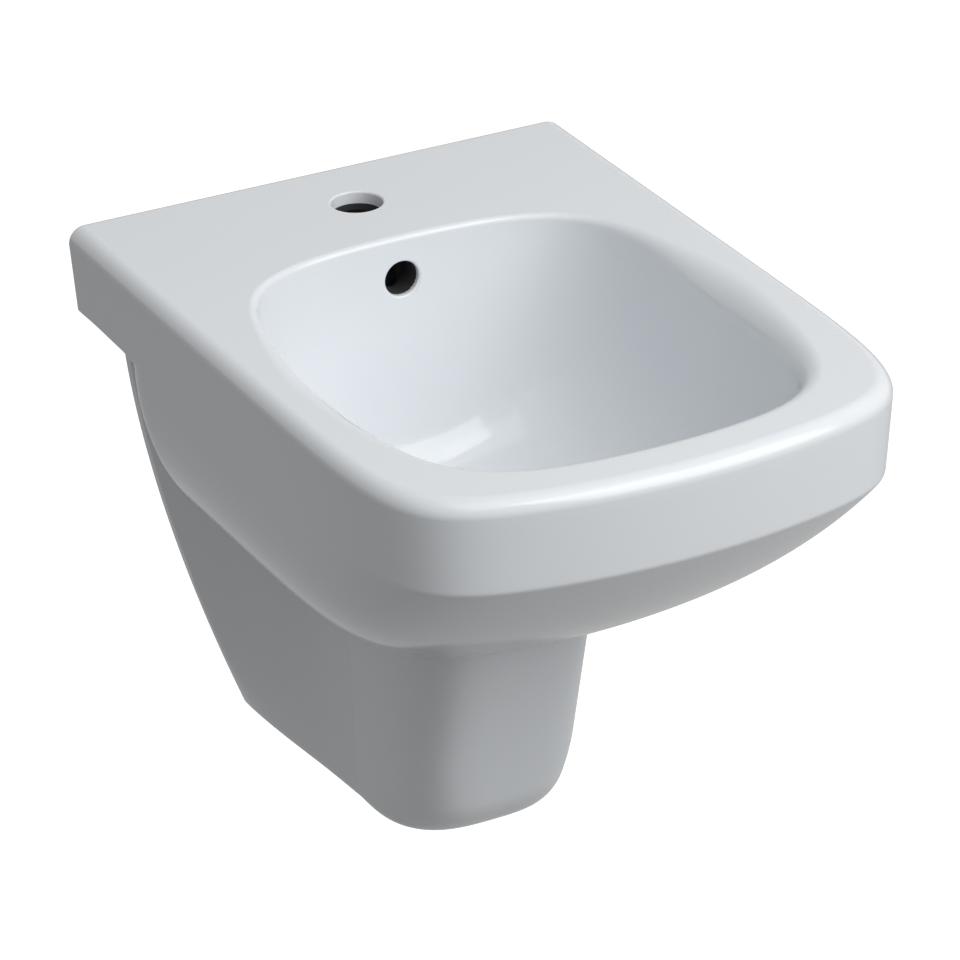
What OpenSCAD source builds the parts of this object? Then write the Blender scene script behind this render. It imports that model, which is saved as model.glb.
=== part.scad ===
// Wall hung bidet: one glazed ceramic casting with its trap cover, the click-clack
// waste fitting, the bottle trap behind the cover and the two wall fixings.
// Origin: midway between the two wall studs, in the plane of the wall.
// +Z is up, +Y goes into the wall, the bowl reaches out towards -Y.
// Depths are measured down from the deck, reaches are measured out from the wall.

/* [Ceramic body] */
// Width of the deck
body_w = 360; // [340:1:400]
// Reach of the front rim from the wall
body_d = 500; // [485:1:560]
// Height from the deck to the foot of the trap cover
body_h = 386; // [375:1:400]
// Radius of the rounded rim edge
rim_r = 11; // [6:0.5:14]
// Height of the upright apron
slab_h = 62; // [54:1:68]
// Inward lean of the apron from top to bottom
slab_draft = 3.5; // [0:0.5:6]
// Radius of the bow across the front
bow_r = 470; // [400:10:900]
// Squareness of the front corners, 2 is round
corner_form = 10; // [6:0.5:14]
// Depth at which the bowl's underside meets the trap cover
hull_h = 209; // [200:1:216]
// Thickness of the casting's walls
wall_t = 12; // [10:0.5:14]
// Thickness of the deck over the tap space
deck_t = 13; // [11:0.5:16]
// Thickness of the panel that the studs clamp
panel_t = 16; // [12:0.5:18]
// Depth of the lower edge of that panel
panel_h = 170; // [150:1:180]

/* [Trap cover] */
// Half width against the wall, right under the apron
flare_top = 148; // [142:1:156]
// Half width against the wall at the foot
flare_foot = 70; // [66:1:78]
// Distance over which the flare dies into the cover
flare_run = 113; // [90:1:130]
// Half width of the cover's front, top
cover_top = 63; // [59:1:68]
// Half width of the cover's front, foot
cover_foot = 52; // [49:1:58]
// Half width of the cover's sides where they leave the flare
cover_side = 71; // [66:1:76]
// Reach of the cover's front at the underside of the bowl
cover_d = 286; // [280:1:300]
// Backward lean of the cover's front for each millimetre down
cover_lean = 0.272; // [0.2:0.01:0.28]
// Rounding of the foot at the front
foot_r = 36; // [25:1:40]

/* [Bowl] */
// Depth of the bowl's floor
bowl_depth = 160; // [150:1:164]
// Reach of the bowl's rear wall
bowl_rear = 120; // [114:1:126]
// Reach of the bowl's front wall
bowl_front = 456; // [440:1:462]
// Half width of the bowl
bowl_half = 138; // [126:1:144]
// Roll-over of the rim at the sides
lip_side = 20; // [10:1:22]
// Roll-over of the rim at the front
lip_front = 14; // [8:1:16]
// Roll-over of the rim at the deck
lip_rear = 4; // [2:0.5:8]
// Diameter of the hole for the tap
tap_hole_d = 34; // [32:0.5:37]
// Reach of the tap hole's centre
tap_y = 56; // [50:1:60]
// Diameter of the overflow hole
overflow_d = 24; // [18:0.5:26]
// Depth of the overflow hole's centre
overflow_h = 30; // [26:1:40]
// Diameter of the overflow duct inside the casting
duct_d = 15; // [10:0.5:16]

/* [Waste fitting] */
// Distance of the waste hole's centre behind the cover's front
waste_inset = 86; // [82:1:90]
// Diameter of the hole through the casting
waste_hole_d = 45; // [44:0.5:48]
// Outer diameter of the threaded tail
tail_d = 41.9; // [40:0.1:42.5]
// Inner diameter of the tail
tail_bore_d = 35; // [33:0.5:36]
// Bare length of the tail between its two nuts
tail_bare = 10.5; // [6:0.5:14]
// Diameter of the flange in the bowl
flange_d = 63; // [60:0.5:66]
// Thickness of the flange
flange_t = 3.5; // [3:0.1:4.5]
// Thickness of the flange seal
flange_seal_t = 2; // [1.5:0.1:3]
// Height of the overflow windows in the tail
window_h = 13; // [9:0.5:14]
// Diameter of the plug cap
cap_d = 58; // [52:0.5:60]
// Thickness of the plug cap at its rim
cap_t = 4; // [3:0.5:6]
// Rise of the plug cap's crown
cap_crown = 2.5; // [1:0.25:4]
// Travel of the plug between shut and open
plug_lift = 9; // [6:0.5:10]
// Diameter of the plug's stem
stem_d = 8; // [6:0.5:9]
// Wire diameter of the plug spring
spring_wire = 1.3; // [1:0.1:1.6]
// Coils of the plug spring
spring_turns = 5; // [4:1:6]

/* [Trap] */
// Outer diameter of the trap's pipes
pipe_d = 32; // [30:0.5:33]
// Wall of the pipes
pipe_wall = 1.6; // [1.2:0.1:2]
// Diameter of the bottle
bottle_d = 53; // [50:0.5:54]
// Height of the screw cup below the bottle
cup_full = 20.8; // [19:0.2:23]
// Clearance from the trap's cup down to the foot of the cover
foot_clear = 34; // [30:1:40]
// Length of outlet pipe that enters the wall
outlet_in_wall = 35; // [20:1:60]
// Diameter of the cover ring on the wall
rosette_d = 70; // [60:1:76]

/* [Wall fixings] */
// Distance between the two studs
stud_gap = 180; // [180:1:180]
// Depth of the studs below the deck
stud_h = 95; // [90:1:105]
// Diameter of the studs in the wall
stud_d = 12; // [11.5:0.1:12]
// Mean diameter of the stud thread that takes the nut
stud_thread_d = 10.8; // [10:0.1:11]
// Length of the studs that enters the wall
stud_in_wall = 60; // [40:1:80]
// Diameter of the stud holes in the casting
stud_hole_d = 22; // [20:0.5:24]

/* [Hidden] */
// Round pieces
$fn = 72;
// Clearance between parts that slide or screw together
fit = 0.05;
// Clearance between parts that only pass each other
gap = 0.3;

// Reach at which the rays turn from straight to fanned
fan_y = 150;
// Squareness of the cover's plan at the top and at the foot
cover_form = 5;
foot_form = 3;
// Powers of the curves of the bowl's underside: squareness, front and sides
hull_round = 2.2;
hull_front_pow = 0.53;
hull_side_pow = 2;
hull_side_root = 0.4;
// Core that the underside shrinks to: half width and reach
hull_core_half = 40;
hull_core_d = 250;
// Distance from the wall over which the underside swells to its width
hull_run = 95;
// Blend between underside and cover
blend_r = 14;
// Power of the flare's outline on the wall, and of its fall towards the cover
flare_pow = 1.6;
flare_fall = 2;
// Flat of the flare next to the wall
flare_flat = 8;
// Edge rounding of the foot at the sides
foot_side_r = 9;
// Length over which the foot turns rounder
foot_run = 70;

deck_z = stud_h;
foot_z = deck_z - body_h;

// Waste hole, with the seat of its flange, the boss and the duct under the bowl
waste_y = cover_d - waste_inset;
flange_proud = 0.5;
boss_drop = 36;
boss_wall = 15;
duct_drop = 17;
seat_h = bowl_depth + flange_seal_t + flange_t - flange_proud;
boss_h = bowl_depth + boss_drop;
boss_r = waste_hole_d / 2 + boss_wall;
duct_h = bowl_depth + duct_drop;
duct_y = bowl_rear - wall_t - 13;
rib_w = duct_d + 16;
bowl_floor_r = flange_d / 2 + 4;

flange_h = seat_h - flange_seal_t - flange_t;
thread_r = tail_d / 2;
plug_seal_t = 3;
plug_clear = 0.1;
cap_h = flange_h - plug_seal_t - plug_clear;

// Full heights of the pieces stacked under the boss
cone_full = 8;
slip_full = 1.5;
back_nut_full = 11;
nut_grip = 16;
washer_full = 2.5;
pipe_rim_full = 3;
nut_lip = 2.5;
neck_rise = 11;
neck_full = 13;
shoulder = 2.8;
collar_drop = 4;
cup_collar_full = 11;

// The stack shares the room from the boss to foot_clear, apart from the spigot's own height
pipe_r = pipe_d / 2;
spigot_r = pipe_r + 3.2;
stack = cone_full + slip_full + back_nut_full + tail_bare + nut_grip + washer_full + pipe_rim_full
    + nut_lip + neck_rise + neck_full + shoulder + collar_drop + cup_collar_full + cup_full;
share = (body_h - foot_clear - boss_h - 2 * spigot_r) / stack;

cone_t = share * cone_full;
back_nut_h = boss_h + cone_t + share * slip_full;
back_nut_t = share * back_nut_full;
inlet_nut_top = back_nut_h + back_nut_t + share * tail_bare;
tail_foot = inlet_nut_top + share * nut_grip;
washer_t = share * washer_full;
pipe_rim_t = share * pipe_rim_full;
inlet_nut_foot = tail_foot + washer_t + pipe_rim_t + share * nut_lip;
neck_top = inlet_nut_foot + share * neck_rise;
bottle_top = neck_top + share * neck_full;
outlet_h = bottle_top + share * shoulder + spigot_r;
cup_collar = share * cup_collar_full;
cup_top = outlet_h + spigot_r + share * collar_drop + cup_collar;
cup_h = share * cup_full;
bottle_foot = cup_top + cup_h;
dip_foot = cup_top + cup_h / 3;

housing_rise = 8;
housing_t = 26;
housing_h = boss_h - housing_rise;
guide_r = stem_d / 2 + 3.5;
stem_past = 6;
collar_gap = 11;
collar_t = 2;
collar_h = cap_h + collar_gap;
spring_top = collar_h + collar_t;
spring_len = housing_h - spring_top;
spring_r = stem_d / 2 + 0.6 + spring_wire / 2;

// Ease of the outlet pipe's end, and its full width past the wall
pipe_ease = 0.4;
pipe_proud = 2;
inlet_nut_r = thread_r + 5;
bottle_r = bottle_d / 2;
bottle_wall = 2.6;
neck_r = pipe_r + 4;
head_seal_t = share * 3;
head_nut_r = neck_r + 4.5;
cup_r = bottle_r + 2.6;
cup_seal_t = 2;
spigot_len = 21;
spigot_end = waste_y - bottle_r - spigot_len;
outlet_seal_t = 3;
outlet_nut_r = spigot_r + 4.8;
nut_run = 19;
rosette_t = 9;

sleeve_collar_t = 3;
stud_washer_t = 2.5;
stud_nut_t = 10;
stud_end = 52;

glaze = [0.87, 0.885, 0.895];
chrome = [0.78, 0.79, 0.80];
brass = [0.72, 0.58, 0.32];
rubber = [0.12, 0.12, 0.13];
white_plastic = [0.90, 0.90, 0.88];
grey_plastic = [0.60, 0.61, 0.62];
steel = [0.66, 0.67, 0.69];

// Curves

function clamp01(t) = max(0, min(1, t));

function ease(t) = let (u = clamp01(t)) u * u * (3 - 2 * u);

function smooth_max(a, b, k) =
    let (t = clamp01(0.5 + 0.5 * (a - b) / k))
    b + (a - b) * t + k * t * (1 - t);

// Inset of a rounded edge of radius r at distance e past its start
function edge_inset(r, e) = r - sqrt(max(r * r - max(e, 0) * max(e, 0), 0));

// Distance along a ray [y, cos, sin] to a plan with straight sides and a bowed front
function plan_reach(ray, half, front, bow, form) =
    let (
        m = ray[0] + front - bow,
        b = m * ray[2],
        arc = sqrt(max(b * b - m * m + bow * bow, 0.01)) - b,
        side = max(ray[1], 0.000001) / half
    )
    pow(pow(side, form) + pow(max(arc, 0.01), -form), -1 / form);

// Rays that leave the middle line, level along the sides and fanned over half of the front
function fan(side_count, front_count, start = 0) = concat(
    [for (i = [0:side_count]) [start - (start + fan_y) * i / side_count, 1, 0]],
    [for (i = [1:front_count]) let (a = 90 * i / front_count) [-fan_y, cos(a), -sin(a)]]
);

// Closed ring from its right half, with the last point on the middle line
function mirrored(half_ring) =
    concat(
        half_ring,
        [for (i = [len(half_ring) - 2:-1:0]) [-half_ring[i][0], half_ring[i][1], half_ring[i][2]]]
    );

// Outer form

// Half width against the wall
function wall_half(h) =
    flare_top - (flare_top - flare_foot) * pow(clamp01((h - slab_h) / (body_h - slab_h)), flare_pow);

// Reach of the cover's front
function cover_front(h) =
    cover_d - cover_lean * max(h - hull_h, 0) - edge_inset(foot_r, h - (body_h - foot_r));

// Half width of cover and flare at a distance y from the wall
function cover_half(y, h) =
    let (
        down = clamp01((h - slab_h) / (body_h - slab_h)),
        near = min(cover_side, wall_half(h)),
        far = cover_top + (cover_foot - cover_top) * down,
        side = near + (far - near) * clamp01(y / 250),
        fall = pow(1 - clamp01((y - flare_flat) / flare_run), flare_fall)
    )
    side + (wall_half(h) - side) * fall - edge_inset(foot_side_r, h - (body_h - foot_side_r));

function cover_plan(ray, h) =
    let (
        form = cover_form + (foot_form - cover_form) * ease((h - body_h + foot_run) / foot_run),
        ahead = ray[2] < -0.000001 ? (cover_front(h) + ray[0]) / -ray[2] : 1000000,
        side = max(ray[1], 0.000001) / cover_half(-ray[0], h)
    )
    pow(pow(side, form) + pow(ahead, -form), -1 / form);

function hull_plan(ray, h) =
    let (
        t = clamp01((h - slab_h) / (hull_h - slab_h)),
        front_k = pow(1 - t, hull_front_pow),
        side_k = pow(1 - pow(t, hull_side_pow), hull_side_root),
        half = hull_core_half + (body_w / 2 - slab_draft - hull_core_half) * side_k,
        front = hull_core_d + (body_d - slab_draft - hull_core_d) * front_k,
        form = hull_round + (corner_form - hull_round) * sqrt(1 - t),
        reach = plan_reach(ray, half, front, bow_r * (0.4 + 0.6 * front_k), form),
        root = 0.8 * wall_half(h)
    )
    ray[2] == 0 ? root + (reach - root) * ease(-ray[0] / hull_run) : reach;

function slab_plan(ray, h) =
    let (
        round_in = edge_inset(rim_r, rim_r - h),
        lean = slab_draft * clamp01((h - rim_r) / (slab_h - rim_r))
    )
    plan_reach(ray, body_w / 2 - round_in - lean, body_d - round_in - lean, bow_r, corner_form);

function body_plan(ray, h) =
    h <= slab_h ? slab_plan(ray, h)
    : h >= hull_h ? cover_plan(ray, h)
    : smooth_max(hull_plan(ray, h), cover_plan(ray, h), blend_r * clamp01((h - slab_h) / 20 + 0.05));

function body_ring(h) = mirrored([
    for (ray = fan(8, 24))
    let (r = body_plan(ray, h))
    [r * ray[1], ray[0] + r * ray[2], deck_z - h]
]);

body_depths = concat(
    [for (a = [0:15:90]) rim_r * (1 - cos(a))],
    [slab_h, slab_h + 0.6],
    [for (i = [1:10]) slab_h + (hull_h - slab_h) * sin(9 * i)],
    [for (i = [1:4]) hull_h + (body_h - foot_r - hull_h) * i / 4],
    [for (a = [20:14:90]) body_h - foot_r + foot_r * sin(a)]
);

// Bowl

// Share of the top outline that is left at depth h, for walls of a given steepness
function bowl_fall(h, steep) = sqrt(max(1 - pow(clamp01(h / bowl_depth), steep), 0));

function bowl_lip(a, h) =
    let (
        s = sin(a),
        lip = lip_side + ((s > 0 ? lip_rear : lip_front) - lip_side) * ease(abs(s) * 1.15)
    )
    edge_inset(lip, lip - h);

function bowl_rear_at(h) =
    let (foot = waste_y - bowl_floor_r)
    foot + (bowl_rear - foot) * bowl_fall(h, 3);

function bowl_front_at(h) =
    let (foot = waste_y + bowl_floor_r)
    foot + (bowl_front - foot) * bowl_fall(h, 4);

function bowl_half_at(h) = bowl_floor_r + (bowl_half - bowl_floor_r) * bowl_fall(h, 4.5);

// Ring at depth h, grown outwards and drawn at a depth of its own for the bowl's back
function bowl_ring(h, level, count = 56, grow = 0) =
    let (
        mid = (bowl_rear_at(h) + bowl_front_at(h)) / 2,
        long = (bowl_front_at(h) - bowl_rear_at(h)) / 2,
        form = 2 + 3 * bowl_fall(h, 2)
    )
    [
        for (i = [0:count - 1])
        let (
            a = -360 * i / count,
            r = plan_reach([0, abs(cos(a)), -abs(sin(a))], bowl_half_at(h), long, bow_r, form)
                + bowl_lip(a, max(h, 0)) + grow
        )
        [r * cos(a), r * sin(a) - mid, deck_z - level]
    ];

bowl_depths = concat(
    [-1],
    [for (a = [0:15:90]) lip_side * (1 - cos(a))],
    [for (i = [2:10]) bowl_depth * sin(9 * i)]
);

// Hollow of the casting: the tap space, the trap space and the space round the bowl

// Keeps wall_t of skin in every direction between level and upright
function hollow_ring(h) = mirrored([
    for (ray = fan(6, 14, 1))
    let (
        y = min(ray[0], 0),
        inner = [y, ray[1], ray[2]],
        r = min([for (a = [0:30:90]) body_plan(inner, h + wall_t * sin(a)) - wall_t * cos(a)])
    )
    [r * ray[1], ray[0] + r * ray[2], deck_z - h]
]);

hollow_depths = concat(
    [deck_t, slab_h - wall_t, slab_h - 2],
    [for (i = [1:9]) slab_h + (hull_h - wall_t - slab_h) * sin(10 * i)],
    [hull_h],
    [for (i = [1:3]) hull_h + (body_h - foot_r - hull_h) * i / 3],
    [for (a = [25:20:85]) body_h - foot_r + foot_r * sin(a)],
    [body_h + 1]
);

shell_depths = concat([-1, 8], [for (i = [1:9]) (bowl_depth + wall_t) * sin(10 * i)]);

// Solid through a list of level rings, first ring on top, each clockwise from above
module loft(rings) {
    n = len(rings[0]);
    last = len(rings) - 1;
    polyhedron(
        points = [for (ring = rings) each ring],
        faces = concat(
            [[for (j = [0:n - 1]) j]],
            [
                for (i = [0:last - 1], j = [0:n - 1])
                let (k = (j + 1) % n)
                each [
                    [i * n + k, i * n + j, (i + 1) * n + j],
                    [i * n + k, (i + 1) * n + j, (i + 1) * n + k]
                ]
            ],
            [[for (j = [n - 1:-1:0]) last * n + j]]
        ),
        convexity = 10
    );
}

// Places children at the depth h below the deck, on the axis at reach y
module at(h, y = 0) {
    translate([0, -y, deck_z - h]) children();
}

// Disc or drum between two depths
module drum(top, foot, r) {
    translate([0, 0, -foot]) cylinder(h = foot - top, r = r);
}

module ring(top, foot, r_out, r_in) {
    difference() {
        drum(top, foot, r_out);
        drum(top - 1, foot + 1, r_in);
    }
}

// Nut with grip ribs round a plain core
module ribbed_nut(top, foot, r_out, r_in, ribs = 12) {
    difference() {
        union() {
            drum(top, foot, r_out - 1.2);
            for (i = [0:ribs - 1])
                rotate(360 * i / ribs)
                    translate([r_out - 2.2, -1.6, -foot])
                        cube([2.2, 3.2, foot - top - 2]);
        }
        drum(top - 1, foot + 1, r_in);
    }
}

// Turns a piece made along -Z so that it runs along the wall axis at depth h
module along_wall(h) {
    translate([0, 0, deck_z - h]) rotate([90, 0, 0]) children();
}

module both_studs() {
    for (side = [-1, 1])
        translate([side * stud_gap / 2, 0, 0])
            along_wall(stud_h)
                children();
}

module hollow() {
    difference() {
        loft([for (h = hollow_depths) hollow_ring(h)]);
        // Shell of the bowl
        loft([for (h = shell_depths) bowl_ring(h * bowl_depth / (bowl_depth + wall_t), h, 32, wall_t)]);
        // Panel for the wall studs
        at(panel_h) translate([-body_w, -panel_t, 0]) cube([2 * body_w, panel_t + 2, panel_h]);
        // Boss round the waste hole
        at(0, waste_y) drum(bowl_depth - 20, boss_h, boss_r);
        // Rib that holds the overflow duct
        at(duct_h + 13) translate([-rib_w / 2, -bowl_rear, 0])
            cube([rib_w, bowl_rear - duct_y + duct_d / 2 + 5, duct_h + 13]);
        at(duct_h + 13) translate([-rib_w / 2, -waste_y, 0])
            cube([rib_w, waste_y - duct_y, duct_h - bowl_depth + 20]);
    }
}

module ceramic_body() {
    color(glaze)
    difference() {
        resize([0, 0, 0])
        difference() {
            loft([for (h = body_depths) body_ring(h)]);
            loft([for (h = bowl_depths) bowl_ring(h, h)]);
            hollow();
        }
        // Tap hole with its softened edge
        at(0, tap_y) {
            drum(-1, deck_t + 1, tap_hole_d / 2);
            translate([0, 0, -2]) cylinder(h = 2.01, r1 = tap_hole_d / 2, r2 = tap_hole_d / 2 + 2);
        }
        // Overflow hole and the duct down to the waste hole
        at(overflow_h, bowl_rear) rotate([-90, 0, 0]) translate([0, 0, -14])
            cylinder(h = 14 + wall_t + 13, d = overflow_d);
        at(0, duct_y) drum(overflow_h - 6, duct_h, duct_d / 2);
        at(duct_h, waste_y) rotate([-90, 0, 0]) cylinder(h = waste_y - duct_y, d = duct_d);
        // Waste hole and the seat of its flange
        at(0, waste_y) {
            drum(bowl_depth - 1, boss_h + 1, waste_hole_d / 2);
            drum(bowl_depth - 1, seat_h, flange_d / 2 + gap);
        }
        // Stud holes through the rear panel
        both_studs() translate([0, 0, -1]) cylinder(h = panel_t + 2, d = stud_hole_d);
    }
}

// Waste fitting

module waste_body() {
    window = 12;
    color(chrome)
    at(0, waste_y)
    difference() {
        rotate_extrude()
            polygon([
                [tail_bore_d / 2, -tail_foot],
                [thread_r, -tail_foot],
                [thread_r, -flange_h - flange_t],
                [flange_d / 2, -flange_h - flange_t],
                [flange_d / 2, -flange_h - 1.2],
                [flange_d / 2 - 1.2, -flange_h],
                [tail_bore_d / 2 + 3, -flange_h],
                [tail_bore_d / 2, -flange_h - 3]
            ]);
        for (a = [45:90:315])
            rotate(a)
                translate([0, -window / 2, -duct_h - window_h / 2])
                    cube([thread_r + 2, window, window_h]);
    }
}

module flange_seal() {
    color(rubber)
    at(0, waste_y) ring(flange_h + flange_t, seat_h, flange_d / 2 - 0.5, thread_r + fit);
}

module cone_washer() {
    color(rubber)
    at(0, waste_y)
    rotate_extrude()
        polygon([
            [thread_r + fit, -boss_h],
            [thread_r + 9, -boss_h],
            [thread_r + 9, -boss_h - cone_t / 2],
            [thread_r + 4, -boss_h - cone_t],
            [thread_r + fit, -boss_h - cone_t]
        ]);
}

module slip_washer() {
    color(white_plastic)
    at(0, waste_y) ring(boss_h + cone_t, back_nut_h, thread_r + 7, thread_r + fit);
}

module back_nut() {
    color(brass)
    at(0, waste_y)
    difference() {
        intersection() {
            translate([0, 0, -back_nut_h - back_nut_t])
                cylinder(h = back_nut_t, r = (thread_r + 6) / cos(30), $fn = 6);
            drum(back_nut_h, back_nut_h + back_nut_t, thread_r + 7.6);
        }
        drum(back_nut_h - 1, back_nut_h + back_nut_t + 1, thread_r + fit);
    }
}

module plug_housing() {
    outer = tail_bore_d / 2 - fit;
    color(white_plastic)
    at(0, waste_y)
    difference() {
        union() {
            ring(housing_h + 4, housing_h + housing_t, outer, outer - 2);
            drum(housing_h, housing_h + housing_t, guide_r);
            for (a = [90:120:330])
                rotate(a)
                    translate([guide_r - 1, -1.5, -housing_h - housing_t])
                        cube([outer - 1 - guide_r + 1, 3, housing_t - 6]);
        }
        drum(housing_h - 1, housing_h + housing_t + 1, stem_d / 2 + fit);
    }
}

// Centre of the spring's wire at a share t of its length, ends turned close
function spring_point(t) =
    let (
        wire = spring_wire / 2,
        free = spring_len - spring_wire - 2 * gap / 3,
        close = spring_wire + 0.5,
        a = 360 * spring_turns * t,
        open = free - 2 * close,
        turns = spring_turns - 2,
        z = a < 360 ? close * a / 360
          : a < 360 * (1 + turns) ? close + open * (a - 360) / (360 * turns)
          : close + open + close * (a - 360 * (1 + turns)) / 360
    )
    [spring_r * cos(a), spring_r * sin(a), wire + gap / 3 + z];

spring_rings = 8 * spring_turns;
spring_path = [for (i = [0:spring_rings]) spring_point(i / spring_rings)];
spring_gap = min([
    for (i = [0:spring_rings - 7])
    min([for (j = [i + 6:spring_rings]) norm(spring_path[i] - spring_path[j])])
]) - spring_wire;
echo(spring_least_gap = spring_gap);

module plug_spring() {
    sides = 6;
    n = len(spring_path);
    points = [
        for (i = [0:n - 1])
        let (
            p = spring_path[i],
            out = [p[0], p[1], 0] / norm([p[0], p[1], 0])
        )
        for (k = [0:sides - 1])
        let (a = 360 * k / sides)
        p + spring_wire / 2 * (cos(a) * out + [0, 0, sin(a)])
    ];
    color(steel)
    at(housing_h, waste_y)
    polyhedron(
        points = points,
        faces = concat(
            [[for (k = [0:sides - 1]) k]],
            [
                for (i = [0:n - 2], k = [0:sides - 1])
                let (m = (k + 1) % sides)
                each [
                    [i * sides + k, (i + 1) * sides + k, (i + 1) * sides + m],
                    [i * sides + k, (i + 1) * sides + m, i * sides + m]
                ]
            ],
            [[for (k = [sides - 1:-1:0]) (n - 1) * sides + k]]
        )
    );
}

module plug_stem() {
    color(brass)
    at(0, waste_y) {
        drum(cap_h, housing_h + housing_t + stem_past, stem_d / 2);
        drum(collar_h, collar_h + collar_t, guide_r);
    }
}

module plug_seal() {
    color(rubber)
    at(0, waste_y) ring(cap_h, cap_h + plug_seal_t, cap_d / 2 - 5, stem_d / 2 + fit);
}

module plug_cap() {
    r = cap_d / 2;
    sphere_r = (r * r + cap_crown * cap_crown) / (2 * cap_crown);
    color(chrome)
    at(0, waste_y) {
        drum(cap_h - cap_t, cap_h, r);
        intersection() {
            translate([0, 0, -cap_h + cap_t + cap_crown - sphere_r]) sphere(r = sphere_r, $fn = 180);
            drum(cap_h - cap_t - cap_crown - 1, cap_h - cap_t, r);
        }
    }
}

// Trap

module inlet_nut() {
    color(white_plastic)
    at(0, waste_y)
    difference() {
        ribbed_nut(inlet_nut_top, inlet_nut_foot, inlet_nut_r, pipe_r + gap);
        drum(inlet_nut_top - 1, tail_foot + washer_t + pipe_rim_t, thread_r + fit);
    }
}

module inlet_washer() {
    color(rubber)
    at(0, waste_y) ring(tail_foot, tail_foot + washer_t, thread_r - 0.2, pipe_r - pipe_wall);
}

module inlet_pipe() {
    rim = tail_foot + washer_t;
    color(white_plastic)
    at(0, waste_y)
    difference() {
        union() {
            drum(rim, rim + pipe_rim_t, thread_r - 0.2);
            drum(rim, dip_foot, pipe_r);
        }
        drum(rim - 1, dip_foot + 1, pipe_r - pipe_wall);
    }
}

module trap_bottle() {
    color(white_plastic)
    at(0, waste_y)
    difference() {
        union() {
            drum(neck_top, bottle_top + 1, neck_r);
            drum(bottle_top, cup_top - cup_seal_t, bottle_r);
            // Spigot for the outlet pipe
            translate([0, 0, -outlet_h]) rotate([-90, 0, 0])
                cylinder(h = waste_y - spigot_end, r = spigot_r);
        }
        drum(neck_top - 1, bottle_top + bottle_wall + 1, pipe_r + gap);
        drum(bottle_top + bottle_wall, cup_top, bottle_r - bottle_wall);
        translate([0, 0, -outlet_h]) rotate([-90, 0, 0])
            cylinder(h = waste_y - spigot_end + 1, r = pipe_r + gap);
    }
}

module head_seal() {
    color(rubber)
    at(0, waste_y) ring(neck_top - head_seal_t, neck_top, neck_r - 0.3, pipe_r + fit);
}

module head_nut() {
    lip = neck_top - head_seal_t;
    color(white_plastic)
    at(0, waste_y)
    difference() {
        ribbed_nut(lip - share * nut_lip, bottle_top - 1, head_nut_r, pipe_r + gap);
        drum(lip, bottle_top, neck_r + fit);
    }
}

module cup_seal() {
    color(rubber)
    at(0, waste_y) ring(cup_top - cup_seal_t, cup_top, bottle_r - 0.2, bottle_r - bottle_wall);
}

// Screw cup at the foot, with grip ribs and a rounded floor
module trap_cup() {
    floor_r = 9;
    inner = bottle_r - bottle_wall;
    color(white_plastic)
    at(0, waste_y)
    difference() {
        union() {
            drum(cup_top - cup_collar, cup_top + 6, cup_r);
            for (i = [0:17])
                rotate(20 * i)
                    translate([cup_r - 1, -1.3, -cup_top - 4.5])
                        cube([2, 2.6, cup_collar + 3]);
            rotate_extrude()
                polygon(concat(
                    [[0, -cup_top], [bottle_r, -cup_top]],
                    [
                        for (a = [0:15:90])
                        [bottle_r - floor_r + floor_r * cos(a), -bottle_foot + floor_r - floor_r * sin(a)]
                    ],
                    [[0, -bottle_foot]]
                ));
        }
        drum(cup_top - cup_collar - 1, cup_top, bottle_r + fit);
        drum(cup_top - 1, bottle_foot - bottle_wall - 5, inner);
        drum(bottle_foot - bottle_wall - 6, bottle_foot - bottle_wall, inner - 6);
    }
}

module outlet_seal() {
    color(rubber)
    along_wall(outlet_h) translate([0, 0, spigot_end - outlet_seal_t]) difference() {
        cylinder(h = outlet_seal_t, r = spigot_r - 0.3);
        translate([0, 0, -1]) cylinder(h = outlet_seal_t + 2, r = pipe_r + fit);
    }
}

module outlet_nut() {
    lip = spigot_end - outlet_seal_t;
    color(white_plastic)
    along_wall(outlet_h) translate([0, 0, lip + nut_run - nut_lip]) difference() {
        ribbed_nut(0, nut_run, outlet_nut_r, pipe_r + gap);
        translate([0, 0, -nut_run + nut_lip]) cylinder(h = nut_run, r = spigot_r + fit);
    }
}

module outlet_pipe() {
    start = spigot_end + 14;
    color(white_plastic)
    along_wall(outlet_h) difference() {
        union() {
            translate([0, 0, -pipe_proud]) cylinder(h = pipe_proud + start, r = pipe_r);
            // Eased end for the sleeve in the wall
            translate([0, 0, -outlet_in_wall]) cylinder(h = outlet_in_wall, r = pipe_r - pipe_ease);
        }
        translate([0, 0, -outlet_in_wall - 1])
            cylinder(h = outlet_in_wall + start + 2, r = pipe_r - pipe_wall);
    }
}

module wall_rosette() {
    r = rosette_d / 2;
    color(chrome)
    along_wall(outlet_h)
    rotate_extrude()
        polygon(concat(
            [[pipe_r + gap, 0], [r, 0]],
            [for (a = [0:15:75]) [pipe_r + 3 + (r - pipe_r - 3) * cos(a), 1.5 + (rosette_t - 1.5) * sin(a)]],
            [[pipe_r + 3, rosette_t], [pipe_r + gap, rosette_t]]
        ));
}

// Wall fixings

module wall_studs() {
    color(steel)
    both_studs() {
        translate([0, 0, -stud_in_wall]) cylinder(h = stud_in_wall, d = stud_d);
        cylinder(h = stud_end, d = stud_thread_d);
    }
}

module stud_sleeves() {
    color(white_plastic)
    both_studs() difference() {
        union() {
            cylinder(h = panel_t, d = stud_hole_d - 2 * fit);
            translate([0, 0, panel_t]) cylinder(h = sleeve_collar_t, d = stud_hole_d + 10);
        }
        translate([0, 0, -1]) cylinder(h = panel_t + sleeve_collar_t + 2, d = stud_thread_d + 2 * gap);
    }
}

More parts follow.
